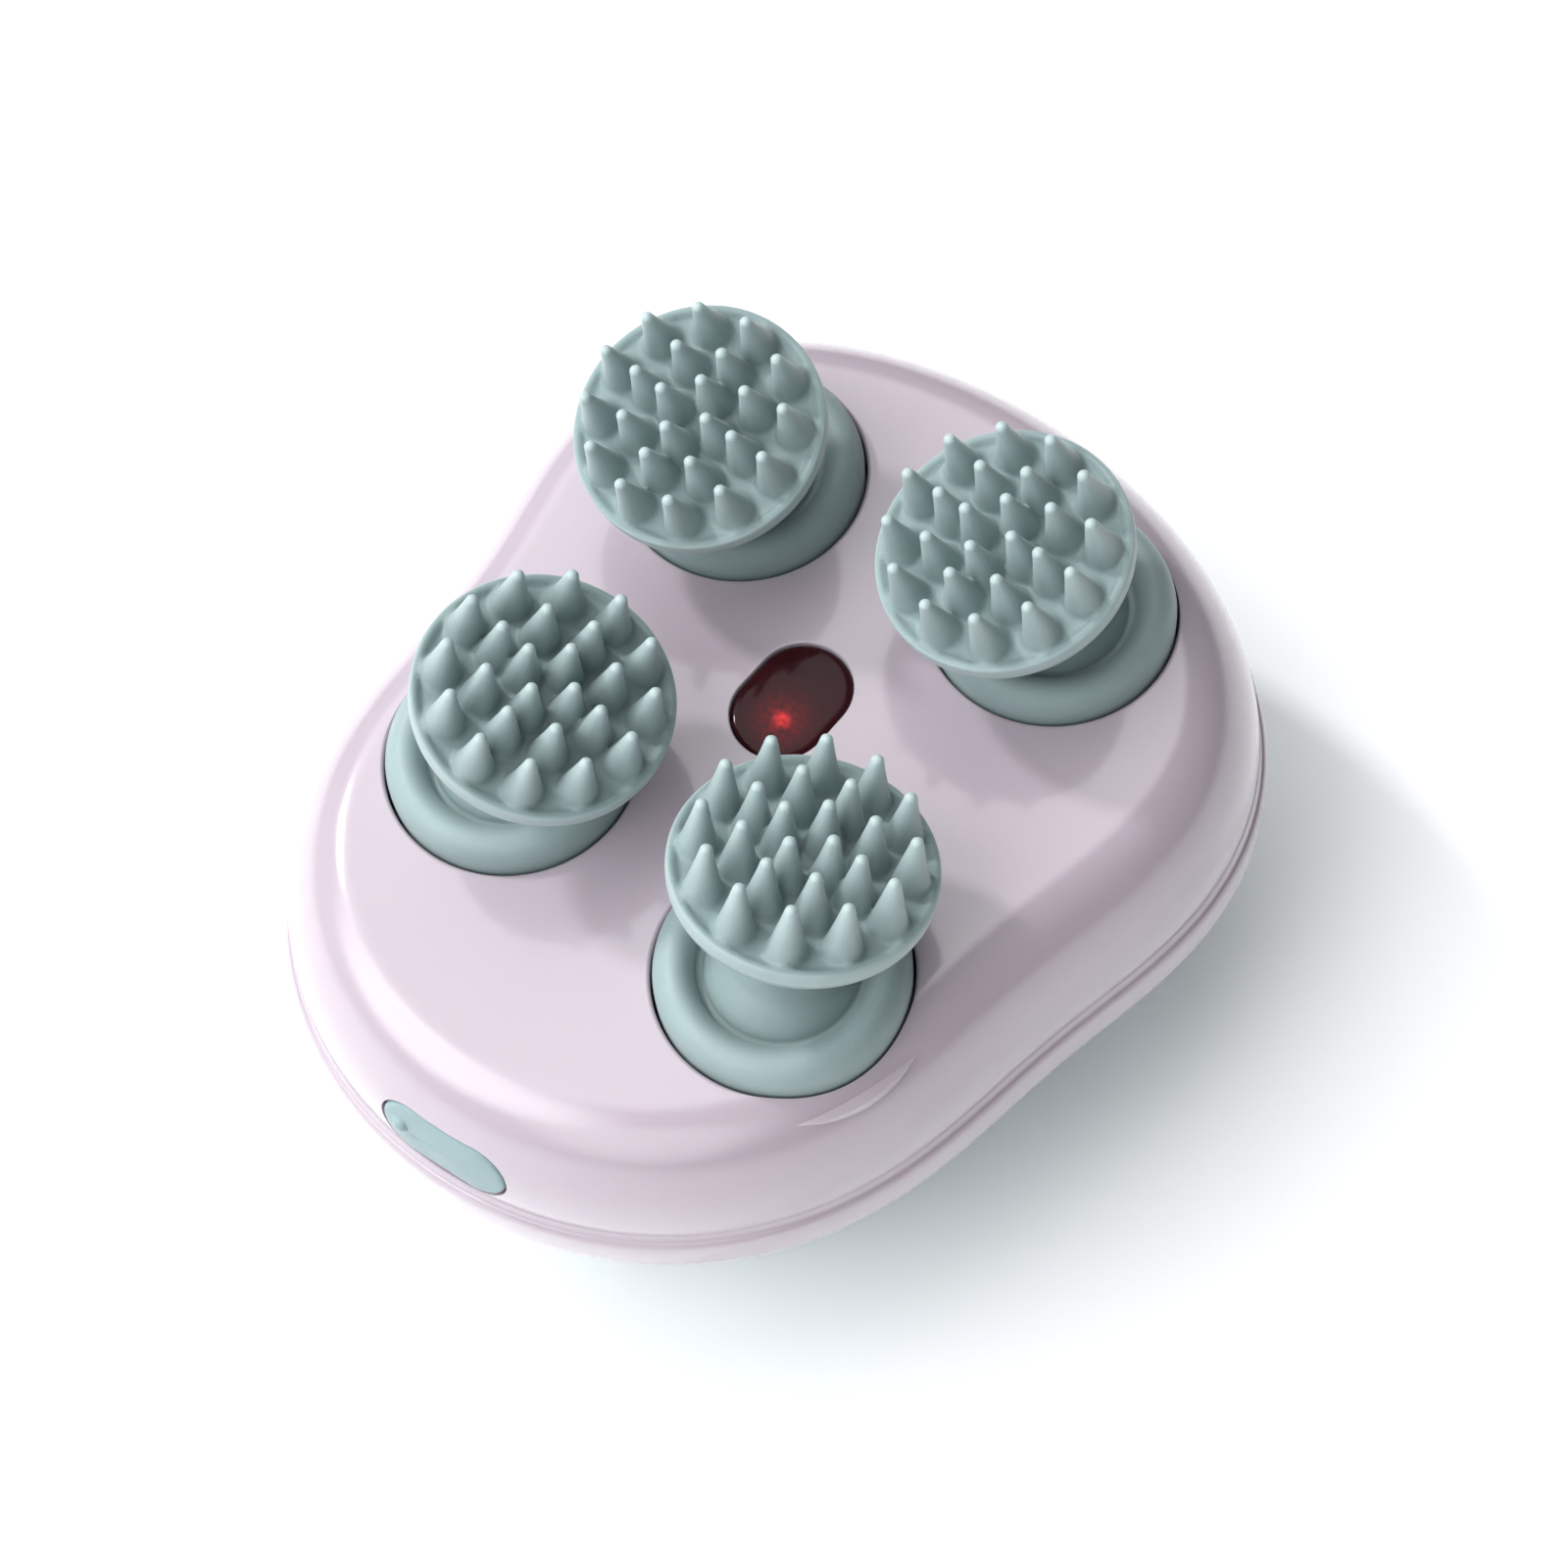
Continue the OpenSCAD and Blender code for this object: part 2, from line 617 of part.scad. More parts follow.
button_h = floor_z + 0.9 - button_sink;
plunger_z = button_sink + button_h;
module switch_plunger() {
    color("darkred") translate([0, 0, plunger_z])
        cylinder(r = 1.7, h = board_z - switch_h + 0.3 - plunger_z);
}

module power_button() {
    color(pale_teal) {
        translate([0, 0, button_sink]) {
            rotate_extrude() polygon(concat([[0, 0.4], [button_r * 0.6, 0.25], [button_r - 0.6, 0]],
                [[button_r, 0.5], [button_r, button_h], [0, button_h]]));
        }
        translate([0, 0, floor_z + 0.1]) cylinder(r = button_r + 1.2, h = 0.8);
    }
}

socket_w = 8.94;
socket_h = 3.26;
socket_len = 7.3;
mouth_w = socket_w + 0.5;
mouth_h = socket_h + 0.5;
plug_depth = recess / cos(port_slope) + 1.05;
socket_back = plug_depth + 0.3;
charge_board = [13, 10, 1];
charge_board_z = port_z - socket_h / 2 - charge_board.z;
charge_board_at = port_at + [0, socket_back + 1 + charge_board.y / 2];
module charging_socket() {
    color(steel) on_plug() translate([0, 0, -socket_back - socket_len]) {
        difference() {
            stadium(socket_w, socket_h, socket_len);
            translate([0, 0, 1]) stadium(socket_w - 0.6, socket_h - 0.6, socket_len);
        }
        translate([-3.35, -0.35, 0.5]) cube([6.7, 0.7, 5.5]);
    }
}

module charging_board() {
    color("seagreen") at(charge_board_at, charge_board_z)
        translate([-charge_board.x / 2, -charge_board.y / 2, 0]) cube(charge_board);
}

// The cover follows the wall: a slice of the upper shell's own outside.
module port_cover() {
    color(pale_teal) {
        intersection() {
            on_port() translate([0, 0, -2 * wall]) stadium(cover_w, cover_h, 2 * wall + 3);
            difference() {
                inside(port_band, -0.1);
                inside(port_band, cover_t);
            }
        }
        on_port() {
            translate([-cover_w * 0.33, cover_h * 0.06, -0.1]) sphere(r = 0.9, $fn = 32);
        }
        on_plug() translate([0, 0, -plug_depth]) stadium(socket_w - 0.8, socket_h - 1.3, 2);
    }
}

led_board = [10, 16, 1];
led_board_top = ceiling_z - 3;
module led_board() {
    color("seagreen") at(window_at, led_board_top - led_board.z)
        translate([-led_board.x / 2, -led_board.y / 2, 0]) cube(led_board);
}

module led() {
    color("red") at(window_at + [0.6, -2.4], led_board_top) {
        cylinder(r = led_r, h = 0.6);
        cylinder(r = led_r * 0.6, h = 1.6);
    }
}

module window_lens() {
    color([0.35, 0.05, 0.06]) at(window_at) rotate([0, 0, 90]) {
        translate([0, 0, ceiling_z]) stadium(window_len - 0.2, window_w - 0.2, top_wall - 0.1);
        translate([0, 0, ceiling_z - 0.8]) stadium(window_len + 1.6, window_w + 1.6, 0.8);
    }
}

// ---- fasteners -----------------------------------------------------------------------------------

case_seat = 14;
case_screw_top = seam_z + 9;
deck_screw_end = plate_z - 9;
module screw(length) {
    translate([0, 0, -0.5]) cylinder(r = screw_r, h = length + 0.5);
    translate([0, 0, -screw_head_h]) difference() {
        cylinder(r = screw_head_r, h = screw_head_h);
        for (a = [0, 90]) rotate([0, 0, a]) translate([-1.4, -0.3, -0.5]) cube([2.8, 0.6, 1.2]);
    }
}
module case_screws() {
    color(steel) for (p = case_at) at(p, case_seat) screw(case_screw_top - case_seat - 0.5);
}
module deck_screws() {
    color(steel) for (p = deck_at) at(p, deck_top) rotate([180, 0, 0])
        screw(deck_top - deck_screw_end - 0.5);
}
module board_screws() {
    color(steel) for (p = board_holes) at(p, board_top) {
        translate([0, 0, -4]) cylinder(r = 1, h = 4);
        cylinder(r = 1.9, h = board_screw_h);
    }
}

// ---- nodes ---------------------------------------------------------------------------------------

upper_shell();
lower_shell();
seam_gasket();
massage_head(0);  // massage_head_1
massage_head(1);  // massage_head_2
massage_head(2);  // massage_head_3
massage_head(3);  // massage_head_4
head_collar(0);  // head_collar_1
head_collar(1);  // head_collar_2
head_collar(2);  // head_collar_3
head_collar(3);  // head_collar_4
head_core(0);  // head_core_1
head_core(1);  // head_core_2
head_core(2);  // head_core_3
head_core(3);  // head_core_4
crank_hub(0);  // crank_hub_1
crank_hub(1);  // crank_hub_2
crank_hub(2);  // crank_hub_3
crank_hub(3);  // crank_hub_4
crank_screw(0);  // crank_screw_1
crank_screw(1);  // crank_screw_2
crank_screw(2);  // crank_screw_3
crank_screw(3);  // crank_screw_4
hub_bush(0);  // hub_bush_1
hub_bush(1);  // hub_bush_2
hub_bush(2);  // hub_bush_3
hub_bush(3);  // hub_bush_4
sun_gear();
drive_shaft();
gear_reducer();
motor();
gear_plate();
bearing_deck();
battery();
battery_cradle();
main_board();
tact_switch();
switch_plunger();
power_button();
charging_board();
charging_socket();
port_cover();
window_lens();
led_board();
led();
case_screws();
deck_screws();
board_screws();
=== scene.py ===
"""Electric scalp massager: smooth shells, silicone heads and the finish of every surface, built
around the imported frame. Shapes are worked out in millimetres and made in metres, +Z up."""
import json
import math

import bpy
import numpy as np
from mathutils import Matrix, Vector
from mathutils.geometry import delaunay_2d_cdt


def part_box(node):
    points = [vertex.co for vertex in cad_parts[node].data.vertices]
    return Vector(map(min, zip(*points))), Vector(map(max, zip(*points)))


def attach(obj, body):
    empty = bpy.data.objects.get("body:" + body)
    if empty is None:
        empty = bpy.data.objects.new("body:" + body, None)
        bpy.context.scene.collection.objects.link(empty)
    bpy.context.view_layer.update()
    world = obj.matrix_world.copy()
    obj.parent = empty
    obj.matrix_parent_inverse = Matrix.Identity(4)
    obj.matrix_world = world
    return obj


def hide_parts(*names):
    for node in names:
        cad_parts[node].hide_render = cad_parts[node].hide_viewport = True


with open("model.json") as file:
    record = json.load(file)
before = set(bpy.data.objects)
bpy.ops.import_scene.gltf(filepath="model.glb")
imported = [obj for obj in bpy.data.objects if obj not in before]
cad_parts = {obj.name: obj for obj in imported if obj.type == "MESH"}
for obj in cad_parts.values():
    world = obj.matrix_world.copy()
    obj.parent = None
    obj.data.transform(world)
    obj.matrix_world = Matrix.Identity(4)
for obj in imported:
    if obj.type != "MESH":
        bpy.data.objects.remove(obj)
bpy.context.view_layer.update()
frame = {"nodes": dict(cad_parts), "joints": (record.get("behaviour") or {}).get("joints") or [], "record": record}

MM = 0.001
joints = {j["name"]: j for j in frame["joints"]}
HEADS = (1, 2, 3, 4)

# ---- sizes, in millimetres ---------------------------------------------------------------------

shell_low, shell_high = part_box("upper_shell")
BODY_W, BODY_LEN = 96.0, 114.0
TOP_Z = shell_high.z / MM
SEAM_GAP = 0.4
SEAM_Z = shell_low.z / MM - SEAM_GAP / 2
WALL = 2.4
TOP_WALL = 2.8
BAND_H = 6.2
CREASE = 0.9
SHOULDER_W = 9.5
BELLY_W, BELLY_IN = 21.0, 8.8
OVAL, EGG, WAIST = 0.193, 0.049, 0.016

OPENING_R = 14.0
LIP_FILLET = 0.45
SEAT_W = 2.4
SEAT_H = 3.8

# ---- outline and sections of the body ----------------------------------------------------------


def unit_outline(a):
    """The body's outline before it is scaled: an oval, broader at the front, with a waist."""
    r = (1 - OVAL * np.cos(2 * (a + math.radians(1.8))) + EGG * np.cos(3 * (a - math.radians(26.5)))
         - WAIST * np.cos(4 * (a - math.radians(7))))
    return np.stack([r * np.cos(a), r * np.sin(a)], 1)


_unit = unit_outline(np.radians(np.arange(0, 360, 0.5)))
_mid = (_unit.min(0) + _unit.max(0)) / 2
_scale = np.array([BODY_W, BODY_LEN]) / (_unit.max(0) - _unit.min(0))


def outline(a):
    """Points of the outline at bearings a, in radians, and the outward normals there."""
    def at(b):
        return (unit_outline(b) - _mid) * _scale
    t = at(a + 0.004) - at(a - 0.004)
    n = np.stack([t[:, 1], -t[:, 0]], 1)
    return at(a), n / np.linalg.norm(n, axis=1, keepdims=True)


AROUND = 480
FINE = 1440
ring_p, ring_n = outline(np.arange(AROUND) * 2 * math.pi / AROUND)
fine_p, fine_n = outline(np.arange(FINE) * 2 * math.pi / FINE)

CREASE_Z = SEAM_Z + BAND_H
SHOULDER_D = CREASE + 0.3
SHOULDER_Z = CREASE_Z + 0.8
SHOULDER_H = TOP_Z - SHOULDER_Z
BELLY_Z = SEAM_Z - 1


def shoulder(u):
    return [SHOULDER_D + SHOULDER_W * (1 - math.cos(u)), SHOULDER_Z + SHOULDER_H * math.sin(u)]


def belly(t):
    return [(1 - t) ** 2 * 0.7 + 2 * t * (1 - t) * BELLY_IN + t * t * BELLY_W,
            (1 - t) ** 2 * BELLY_Z]


def quarter(f, steps):
    return [f(math.pi / 2 * i / steps) for i in range(steps + 1)]


def smooth(points, n):
    """A Catmull-Rom curve through the points, n steps between each two."""
    p = [np.array(q, float) for q in points]
    p = [2 * p[0] - p[1]] + p + [2 * p[-1] - p[-2]]
    out = []
    for i in range(1, len(p) - 2):
        a, b, c, d = p[i - 1:i + 3]
        for k in range(n):
            t = k / n
            out.append(0.5 * (2 * b + (c - a) * t + (2 * a - 5 * b + 4 * c - d) * t * t
                              + (3 * b - a - 3 * c + d) * t ** 3))
    return out + [p[-2]]


UPPER_SECTION = np.array(smooth(
    [[0.35, SEAM_Z + SEAM_GAP / 2], [0.05, SEAM_Z + 1], [0, SEAM_Z + 2.4], [0.15, CREASE_Z - 1.2],
     [0.5, CREASE_Z - 0.35], [CREASE, CREASE_Z], shoulder(0)], 5)[:-1] + quarter(shoulder, 36))
LOWER_SECTION = np.array([[0.6, SEAM_Z - SEAM_GAP / 2], [0.63, SEAM_Z - 0.6]]
                         + [belly(i / 28) for i in range(29)])


def moved(section, t, flat_t):
    """The section moved t into the wall: its rim straight in, its end by flat_t up or down."""
    up = 1 if section[-1][1] > section[0][1] else -1
    v = np.gradient(section, axis=0)
    n = up * np.stack([v[:, 1], -v[:, 0]], 1) / np.linalg.norm(v, axis=1, keepdims=True)
    out = section + t * n
    out[0] = section[0] + [t, 0]
    out[-1] = section[-1] - [0, up * flat_t]
    return out


# ---- mesh helpers ------------------------------------------------------------------------------


def new_object(name, verts, faces, material_index=0):
    mesh = bpy.data.meshes.new(name)
    mesh.from_pydata((np.asarray(verts, float) * MM).tolist(), [], faces)
    mesh.polygons.foreach_set("material_index", [material_index] * len(mesh.polygons))
    mesh.polygons.foreach_set("use_smooth", [True] * len(mesh.polygons))
    mesh.update()
    obj = bpy.data.objects.new(name, mesh)
    bpy.context.scene.collection.objects.link(obj)
    return obj


def stack(rings):
    """A closed solid through rings of equally many points, first to last, capped by fans."""
    n = len(rings[0])
    verts = [p for ring in rings for p in ring]
    faces = []
    for k in range(len(rings) - 1):
        for i in range(n):
            j = (i + 1) % n
            faces.append((k * n + i, k * n + j, (k + 1) * n + j, (k + 1) * n + i))
    last = (len(rings) - 1) * n
    low, high = len(verts), len(verts) + 1
    verts += [np.mean(rings[0], axis=0), np.mean(rings[-1], axis=0)]
    for i in range(n):
        j = (i + 1) % n
        faces.append((low, j, i))
        faces.append((high, last + i, last + j))
    return verts, faces


def outline_rings(levels):
    """Rings of the body's outline at each [inset, height]."""
    return [np.column_stack([ring_p - d * ring_n, np.full(AROUND, z)]) for d, z in levels]


def stadium_ring(w, h, z, n=24):
    """Points round a bar with round ends, counterclockwise, w along X and h along Y."""
    a = np.linspace(-math.pi / 2, math.pi / 2, n)
    right = np.column_stack([(w - h) / 2 + h / 2 * np.cos(a), h / 2 * np.sin(a)])
    ring = np.vstack([right, -right])
    return np.column_stack([ring, np.full(len(ring), z)])


def circle_ring(centre, r, z, n=128):
    a = np.arange(n) * 2 * math.pi / n
    return np.column_stack([centre[0] + r * np.cos(a), centre[1] + r * np.sin(a), np.full(n, z)])


def placed(rings, matrix):
    """The rings moved by a 4 x 4 matrix whose lengths are millimetres."""
    m = np.array(matrix)
    return [ring @ m[:3, :3].T + m[:3, 3] for ring in rings]


def solids(*stacks):
    """Verts and faces of several closed solids, each through its own rings."""
    verts, faces = [], []
    for rings in stacks:
        more, more_faces = stack(rings)
        faces += [tuple(len(verts) + i for i in face) for face in more_faces]
        verts += more
    return verts, faces


def combine(obj, operation, *stacks):
    """Cuts or adds solids that don't touch each other. Their faces keep material index 1."""
    combine_with(obj, new_object("tool", *solids(*stacks), material_index=1), operation)


def combine_with(obj, tool, operation):
    mod = obj.modifiers.new("combine", "BOOLEAN")
    mod.operation = operation
    mod.solver = "MANIFOLD"
    mod.object = tool
    bpy.context.view_layer.update()
    graph = bpy.context.evaluated_depsgraph_get()
    result = bpy.data.meshes.new_from_object(obj.evaluated_get(graph))
    obj.modifiers.clear()
    obj.data = result
    bpy.data.objects.remove(tool)


def inset_of(points):
    """How far inside the outline points (x, y) lie, and the outline's normal nearest to each."""
    inset = np.empty(len(points))
    normal = np.empty((len(points), 2))
    step = np.linalg.norm(np.roll(fine_p, -1, 0) - fine_p, axis=1)
    for start in range(0, len(points), 4000):
        p = points[start:start + 4000]
        near = ((p[:, None, :] - fine_p[None]) ** 2).sum(2).argmin(1)
        along = ((p - fine_p[near]) * np.column_stack([-fine_n[near, 1], fine_n[near, 0]])).sum(1)
        radius_share = np.clip(along / step[near], -0.6, 0.6)
        n = fine_n[near] + np.abs(radius_share)[:, None] * (
            fine_n[(near + np.sign(radius_share).astype(int)) % FINE] - fine_n[near])
        n /= np.linalg.norm(n, axis=1, keepdims=True)
        inset[start:start + 4000] = ((fine_p[near] - p) * n).sum(1)
        normal[start:start + 4000] = n
    return inset, normal


def section_normals(points, section):
    """The true normals of the lofted surface at points, and how far the points lie from it."""
    up = 1 if section[-1][1] > section[0][1] else -1
    dense = np.vstack([np.linspace(section[i], section[i + 1], 8, endpoint=False)
                       for i in range(len(section) - 1)] + [section[-1:]])
    v = np.gradient(section, axis=0)
    turn = np.unwrap(np.arctan2(v[:, 1], v[:, 0]))
    turn[-1] = 0
    dense_turn = np.interp(np.arange(len(dense)) / 8, np.arange(len(section)), turn)
    inset, flat = inset_of(points[:, :2])
    profile = np.column_stack([np.minimum(inset, section[-1][0]), points[:, 2]])
    near = np.empty(len(points), int)
    for start in range(0, len(points), 4000):
        d = ((profile[start:start + 4000, None, :] - dense[None]) ** 2).sum(2)
        near[start:start + 4000] = d.argmin(1)
    gap = np.linalg.norm(profile - dense[near], axis=1)
    out, rise = up * np.sin(dense_turn[near]), up * np.cos(dense_turn[near])
    return np.column_stack([flat * out[:, None], rise]), gap


def set_true_normals(obj, section):
    """Gives the lofted faces their true normals, so that gloss runs smoothly over the cuts."""
    mesh = obj.data
    mesh.set_sharp_from_angle(angle=math.radians(32))
    co = np.empty(len(mesh.vertices) * 3)
    mesh.vertices.foreach_get("co", co)
    normals, gap = section_normals(co.reshape(-1, 3) / MM, section)
    loop_vert = np.empty(len(mesh.loops), int)
    mesh.loops.foreach_get("vertex_index", loop_vert)
    custom = np.zeros((len(mesh.loops), 3))
    for poly in mesh.polygons:
        loops = list(poly.loop_indices)
        verts = loop_vert[loops]
        if poly.material_index == 0 and (gap[verts] < 0.03).all():
            custom[loops] = normals[verts]
    mesh.normals_split_custom_set(custom.tolist())


def revolve(profile, n=96):
    """A surface of revolution round Z through [radius, height] points. A radius of 0 is a pole."""
    verts, rows = [], []
    for r, z in profile:
        if r < 1e-9:
            rows.append([len(verts)] * n)
            verts.append((0, 0, z))
        else:
            a = np.arange(n) * 2 * math.pi / n
            rows.append(list(range(len(verts), len(verts) + n)))
            verts += [(r * math.cos(b), r * math.sin(b), z) for b in a]
    faces = []
    for low, high in zip(rows, rows[1:]):
        for i in range(n):
            j = (i + 1) % n
            face = []
            for v in (low[i], low[j], high[j], high[i]):
                if v not in face:
                    face.append(v)
            if len(face) > 2:
                faces.append(tuple(face))
    return verts, faces


# ---- materials ---------------------------------------------------------------------------------


def material(name, colour, roughness=0.5, metallic=0.0, **sockets):
    """A Principled material with the values that are the same all over it."""
    mat = bpy.data.materials.new(name)
    mat.use_nodes = True
    shader = mat.node_tree.nodes["Principled BSDF"]
    shader.inputs["Base Color"].default_value = (*colour, 1)
    shader.inputs["Roughness"].default_value = roughness
    shader.inputs["Metallic"].default_value = metallic
    for socket, value in sockets.items():
        shader.inputs[socket.replace("_", " ")].default_value = value
    return mat, shader


def add(mat, kind, **values):
    node = mat.node_tree.nodes.new(kind)
    for key, value in values.items():
        if key in node.inputs:
            node.inputs[key].default_value = value
        else:
            setattr(node, key, value)
    return node


def link(mat, a, b):
    mat.node_tree.links.new(a, b)


def coordinates(mat):
    """Place on the piece, in metres, in the row frame at rest."""
    return add(mat, "ShaderNodeTexCoord").outputs["Object"]


def noise(mat, scale, detail=3.0, roughness=0.5, stretch=None):
    """A noise texture with features about 1 / scale metres across."""
    where = coordinates(mat)
    if stretch:
        mapping = add(mat, "ShaderNodeMapping")
        mapping.inputs["Scale"].default_value = stretch
        link(mat, where, mapping.inputs["Vector"])
        where = mapping.outputs["Vector"]
    node = add(mat, "ShaderNodeTexNoise", Scale=scale, Detail=detail, Roughness=roughness)
    link(mat, where, node.inputs["Vector"])
    return node.outputs["Fac"]


def spread(mat, factor, low, high, from_low=0.3, from_high=0.7):
    """The factor mapped from its usual span to low..high."""
    node = add(mat, "ShaderNodeMapRange")
    for socket, value in (("From Min", from_low), ("From Max", from_high),
                          ("To Min", low), ("To Max", high)):
        node.inputs[socket].default_value = value
    link(mat, factor, node.inputs["Value"])
    return node.outputs["Result"]


def mix(mat, factor, a, b):
    """A colour mixed from a to b, each a colour or an output."""
    node = add(mat, "ShaderNodeMix", data_type="RGBA")
    sockets = [s for s in node.inputs if s.type == "RGBA"]
    link(mat, factor, node.inputs["Factor"])
    for socket, value in zip(sockets, (a, b)):
        if isinstance(value, bpy.types.NodeSocket):
            link(mat, value, socket)
        else:
            socket.default_value = (*value, 1)
    return [s for s in node.outputs if s.type == "RGBA"][0]


def bump(mat, shader, heights, distance, strength=1.0):
    """Bump from one or more height outputs, added together."""
    height = heights[0]
    for other in heights[1:]:
        total = add(mat, "ShaderNodeMath", operation="ADD")
        link(mat, height, total.inputs[0])
        link(mat, other, total.inputs[1])
        height = total.outputs[0]
    node = add(mat, "ShaderNodeBump", Strength=strength, Distance=distance)
    link(mat, height, node.inputs["Height"])
    link(mat, node.outputs["Normal"], shader.inputs["Normal"])


def scaled(colour, factor):
    return tuple(min(1.0, c * factor) for c in colour)


def moulded(name, colour, roughness, vary=0.03, ripple=0.00002, grain=0.0, **sockets):
    """Moulded plastic: faint flow and thickness marks in its colour, and its gloss or grain."""
    mat, shader = material(name, colour, roughness, **sockets)
    flow = spread(mat, noise(mat, 22, 2), 0, 1)
    link(mat, mix(mat, flow, scaled(colour, 1 - vary), scaled(colour, 1 + vary)),
         shader.inputs["Base Color"])
    link(mat, spread(mat, noise(mat, 90, 4), roughness * 0.85, roughness * 1.2),
         shader.inputs["Roughness"])
    heights = [spread(mat, noise(mat, 140, 1), 0, 1)]
    distance = ripple
    if grain:
        heights = [spread(mat, noise(mat, 4000, 2), 0, 1)]
        distance = grain
    bump(mat, shader, heights, distance)
    return mat


def silicone(name, colour, thin_glow_colour):
    """Matt silicone, drawn paler where it is thin, the cones' tips and the disc's rim: a painted glow of light
    through the thin silicone.
    """
    mat, shader = material(name, colour, 0.5, Subsurface_Weight=0.25, Subsurface_Scale=0.002,
                           Specular_IOR_Level=0.35, Sheen_Weight=0.15, Sheen_Roughness=0.4)
    shader.inputs["Subsurface Radius"].default_value = (1.0, 1.1, 1.15)
    cloud = spread(mat, noise(mat, 160, 4), 0, 1)
    body = mix(mat, cloud, scaled(colour, 0.96), scaled(colour, 1.04))
    thin_glow = add(mat, "ShaderNodeAttribute", attribute_name="thin_glow").outputs["Fac"]
    # Painted glow: thin places are mixed towards the pale colour, standing in for light through the silicone.
    link(mat, mix(mat, thin_glow, body, thin_glow_colour), shader.inputs["Base Color"])
    link(mat, spread(mat, noise(mat, 500, 5), 0.42, 0.60), shader.inputs["Roughness"])
    grain = spread(mat, noise(mat, 2600, 3), 0, 1)
    swell = spread(mat, noise(mat, 300, 2), 0, 1)
    bump(mat, shader, [grain, swell], 0.000012)
    return mat


def metal(name, colour, roughness, stretch=(1, 1, 12)):
    """Machined or drawn metal, with fine tool lines along one direction."""
    mat, shader = material(name, colour, roughness, 1.0)
    lines = spread(mat, noise(mat, 900, 3, stretch=stretch), 0, 1)
    link(mat, mix(mat, lines, scaled(colour, 0.9), scaled(colour, 1.08)),
         shader.inputs["Base Color"])
    link(mat, spread(mat, noise(mat, 200, 4), roughness * 0.8, roughness * 1.3),
         shader.inputs["Roughness"])
    bump(mat, shader, [lines], 0.000006)
    return mat


PINK = (0.450, 0.386, 0.438)
TEAL = (0.330, 0.425, 0.445)
SAGE = (0.218, 0.290, 0.290)
# The pale colour of the painted glow through thin silicone.
SAGE_THIN_GLOW = (0.400, 0.490, 0.490)


def window_material():
    """Dark red-black translucent plastic, drawn opaque, with the glow of the red light beneath it painted on as
    emission.
    """
    mat, shader = material("window_dark_red", (0.030, 0.005, 0.007), 0.12, Coat_Weight=0.12,
                           Coat_Roughness=0.03, Specular_IOR_Level=0.10)
    led_low, led_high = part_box("led")
    centre = (led_low + led_high) / 2
    away = add(mat, "ShaderNodeVectorMath", operation="DISTANCE")
    link(mat, coordinates(mat), away.inputs[0])
    away.inputs[1].default_value = (centre.x, centre.y, shell_high.z)
    link(mat, spread(mat, noise(mat, 700, 4), 0.08, 0.18), shader.inputs["Roughness"])
    # Painted glow: the red light under the window is painted on as emission, brightest over the LED and mottled,
    # not lit through the plastic.
    painted_glow_halo = spread(mat, away.outputs["Value"], 1, 0, 0.0004, 0.0052)
    core = spread(mat, away.outputs["Value"], 1, 0, 0.0002, 0.0014)
    painted_glow_mottle = spread(mat, noise(mat, 1500, 4), 0.35, 1.3)
    painted_glow = add(mat, "ShaderNodeMath", operation="POWER")
    link(mat, painted_glow_halo, painted_glow.inputs[0])
    painted_glow.inputs[1].default_value = 2.0
    spotted = add(mat, "ShaderNodeMath", operation="MULTIPLY")
    link(mat, painted_glow.outputs[0], spotted.inputs[0])
    link(mat, painted_glow_mottle, spotted.inputs[1])
    painted_glow_colour = mix(mat, core, (0.16, 0.004, 0.006), (0.75, 0.03, 0.03))
    strength = add(mat, "ShaderNodeMath", operation="MULTIPLY", use_clamp=False)
    link(mat, spotted.outputs[0], strength.inputs[0])
    strength.inputs[1].default_value = 1.1
    link(mat, painted_glow_colour, shader.inputs["Emission Color"])
    link(mat, strength.outputs[0], shader.inputs["Emission Strength"])
    bump(mat, shader, [spread(mat, noise(mat, 60, 1), 0, 1)], 0.00001)
    return mat


def board_material():
    """Green solder mask over faint copper tracks."""
    mat, shader = material("circuit_board_green", (0.02, 0.16, 0.07), 0.3, Coat_Weight=0.4)
    tracks = add(mat, "ShaderNodeTexVoronoi", feature="DISTANCE_TO_EDGE", Scale=420)
    link(mat, coordinates(mat), tracks.inputs["Vector"])
    line = spread(mat, tracks.outputs["Distance"], 1, 0, 0.04, 0.08)
    link(mat, mix(mat, line, (0.015, 0.13, 0.055), (0.05, 0.30, 0.12)), shader.inputs["Base Color"])
    bump(mat, shader, [line], 0.00003)
    return mat


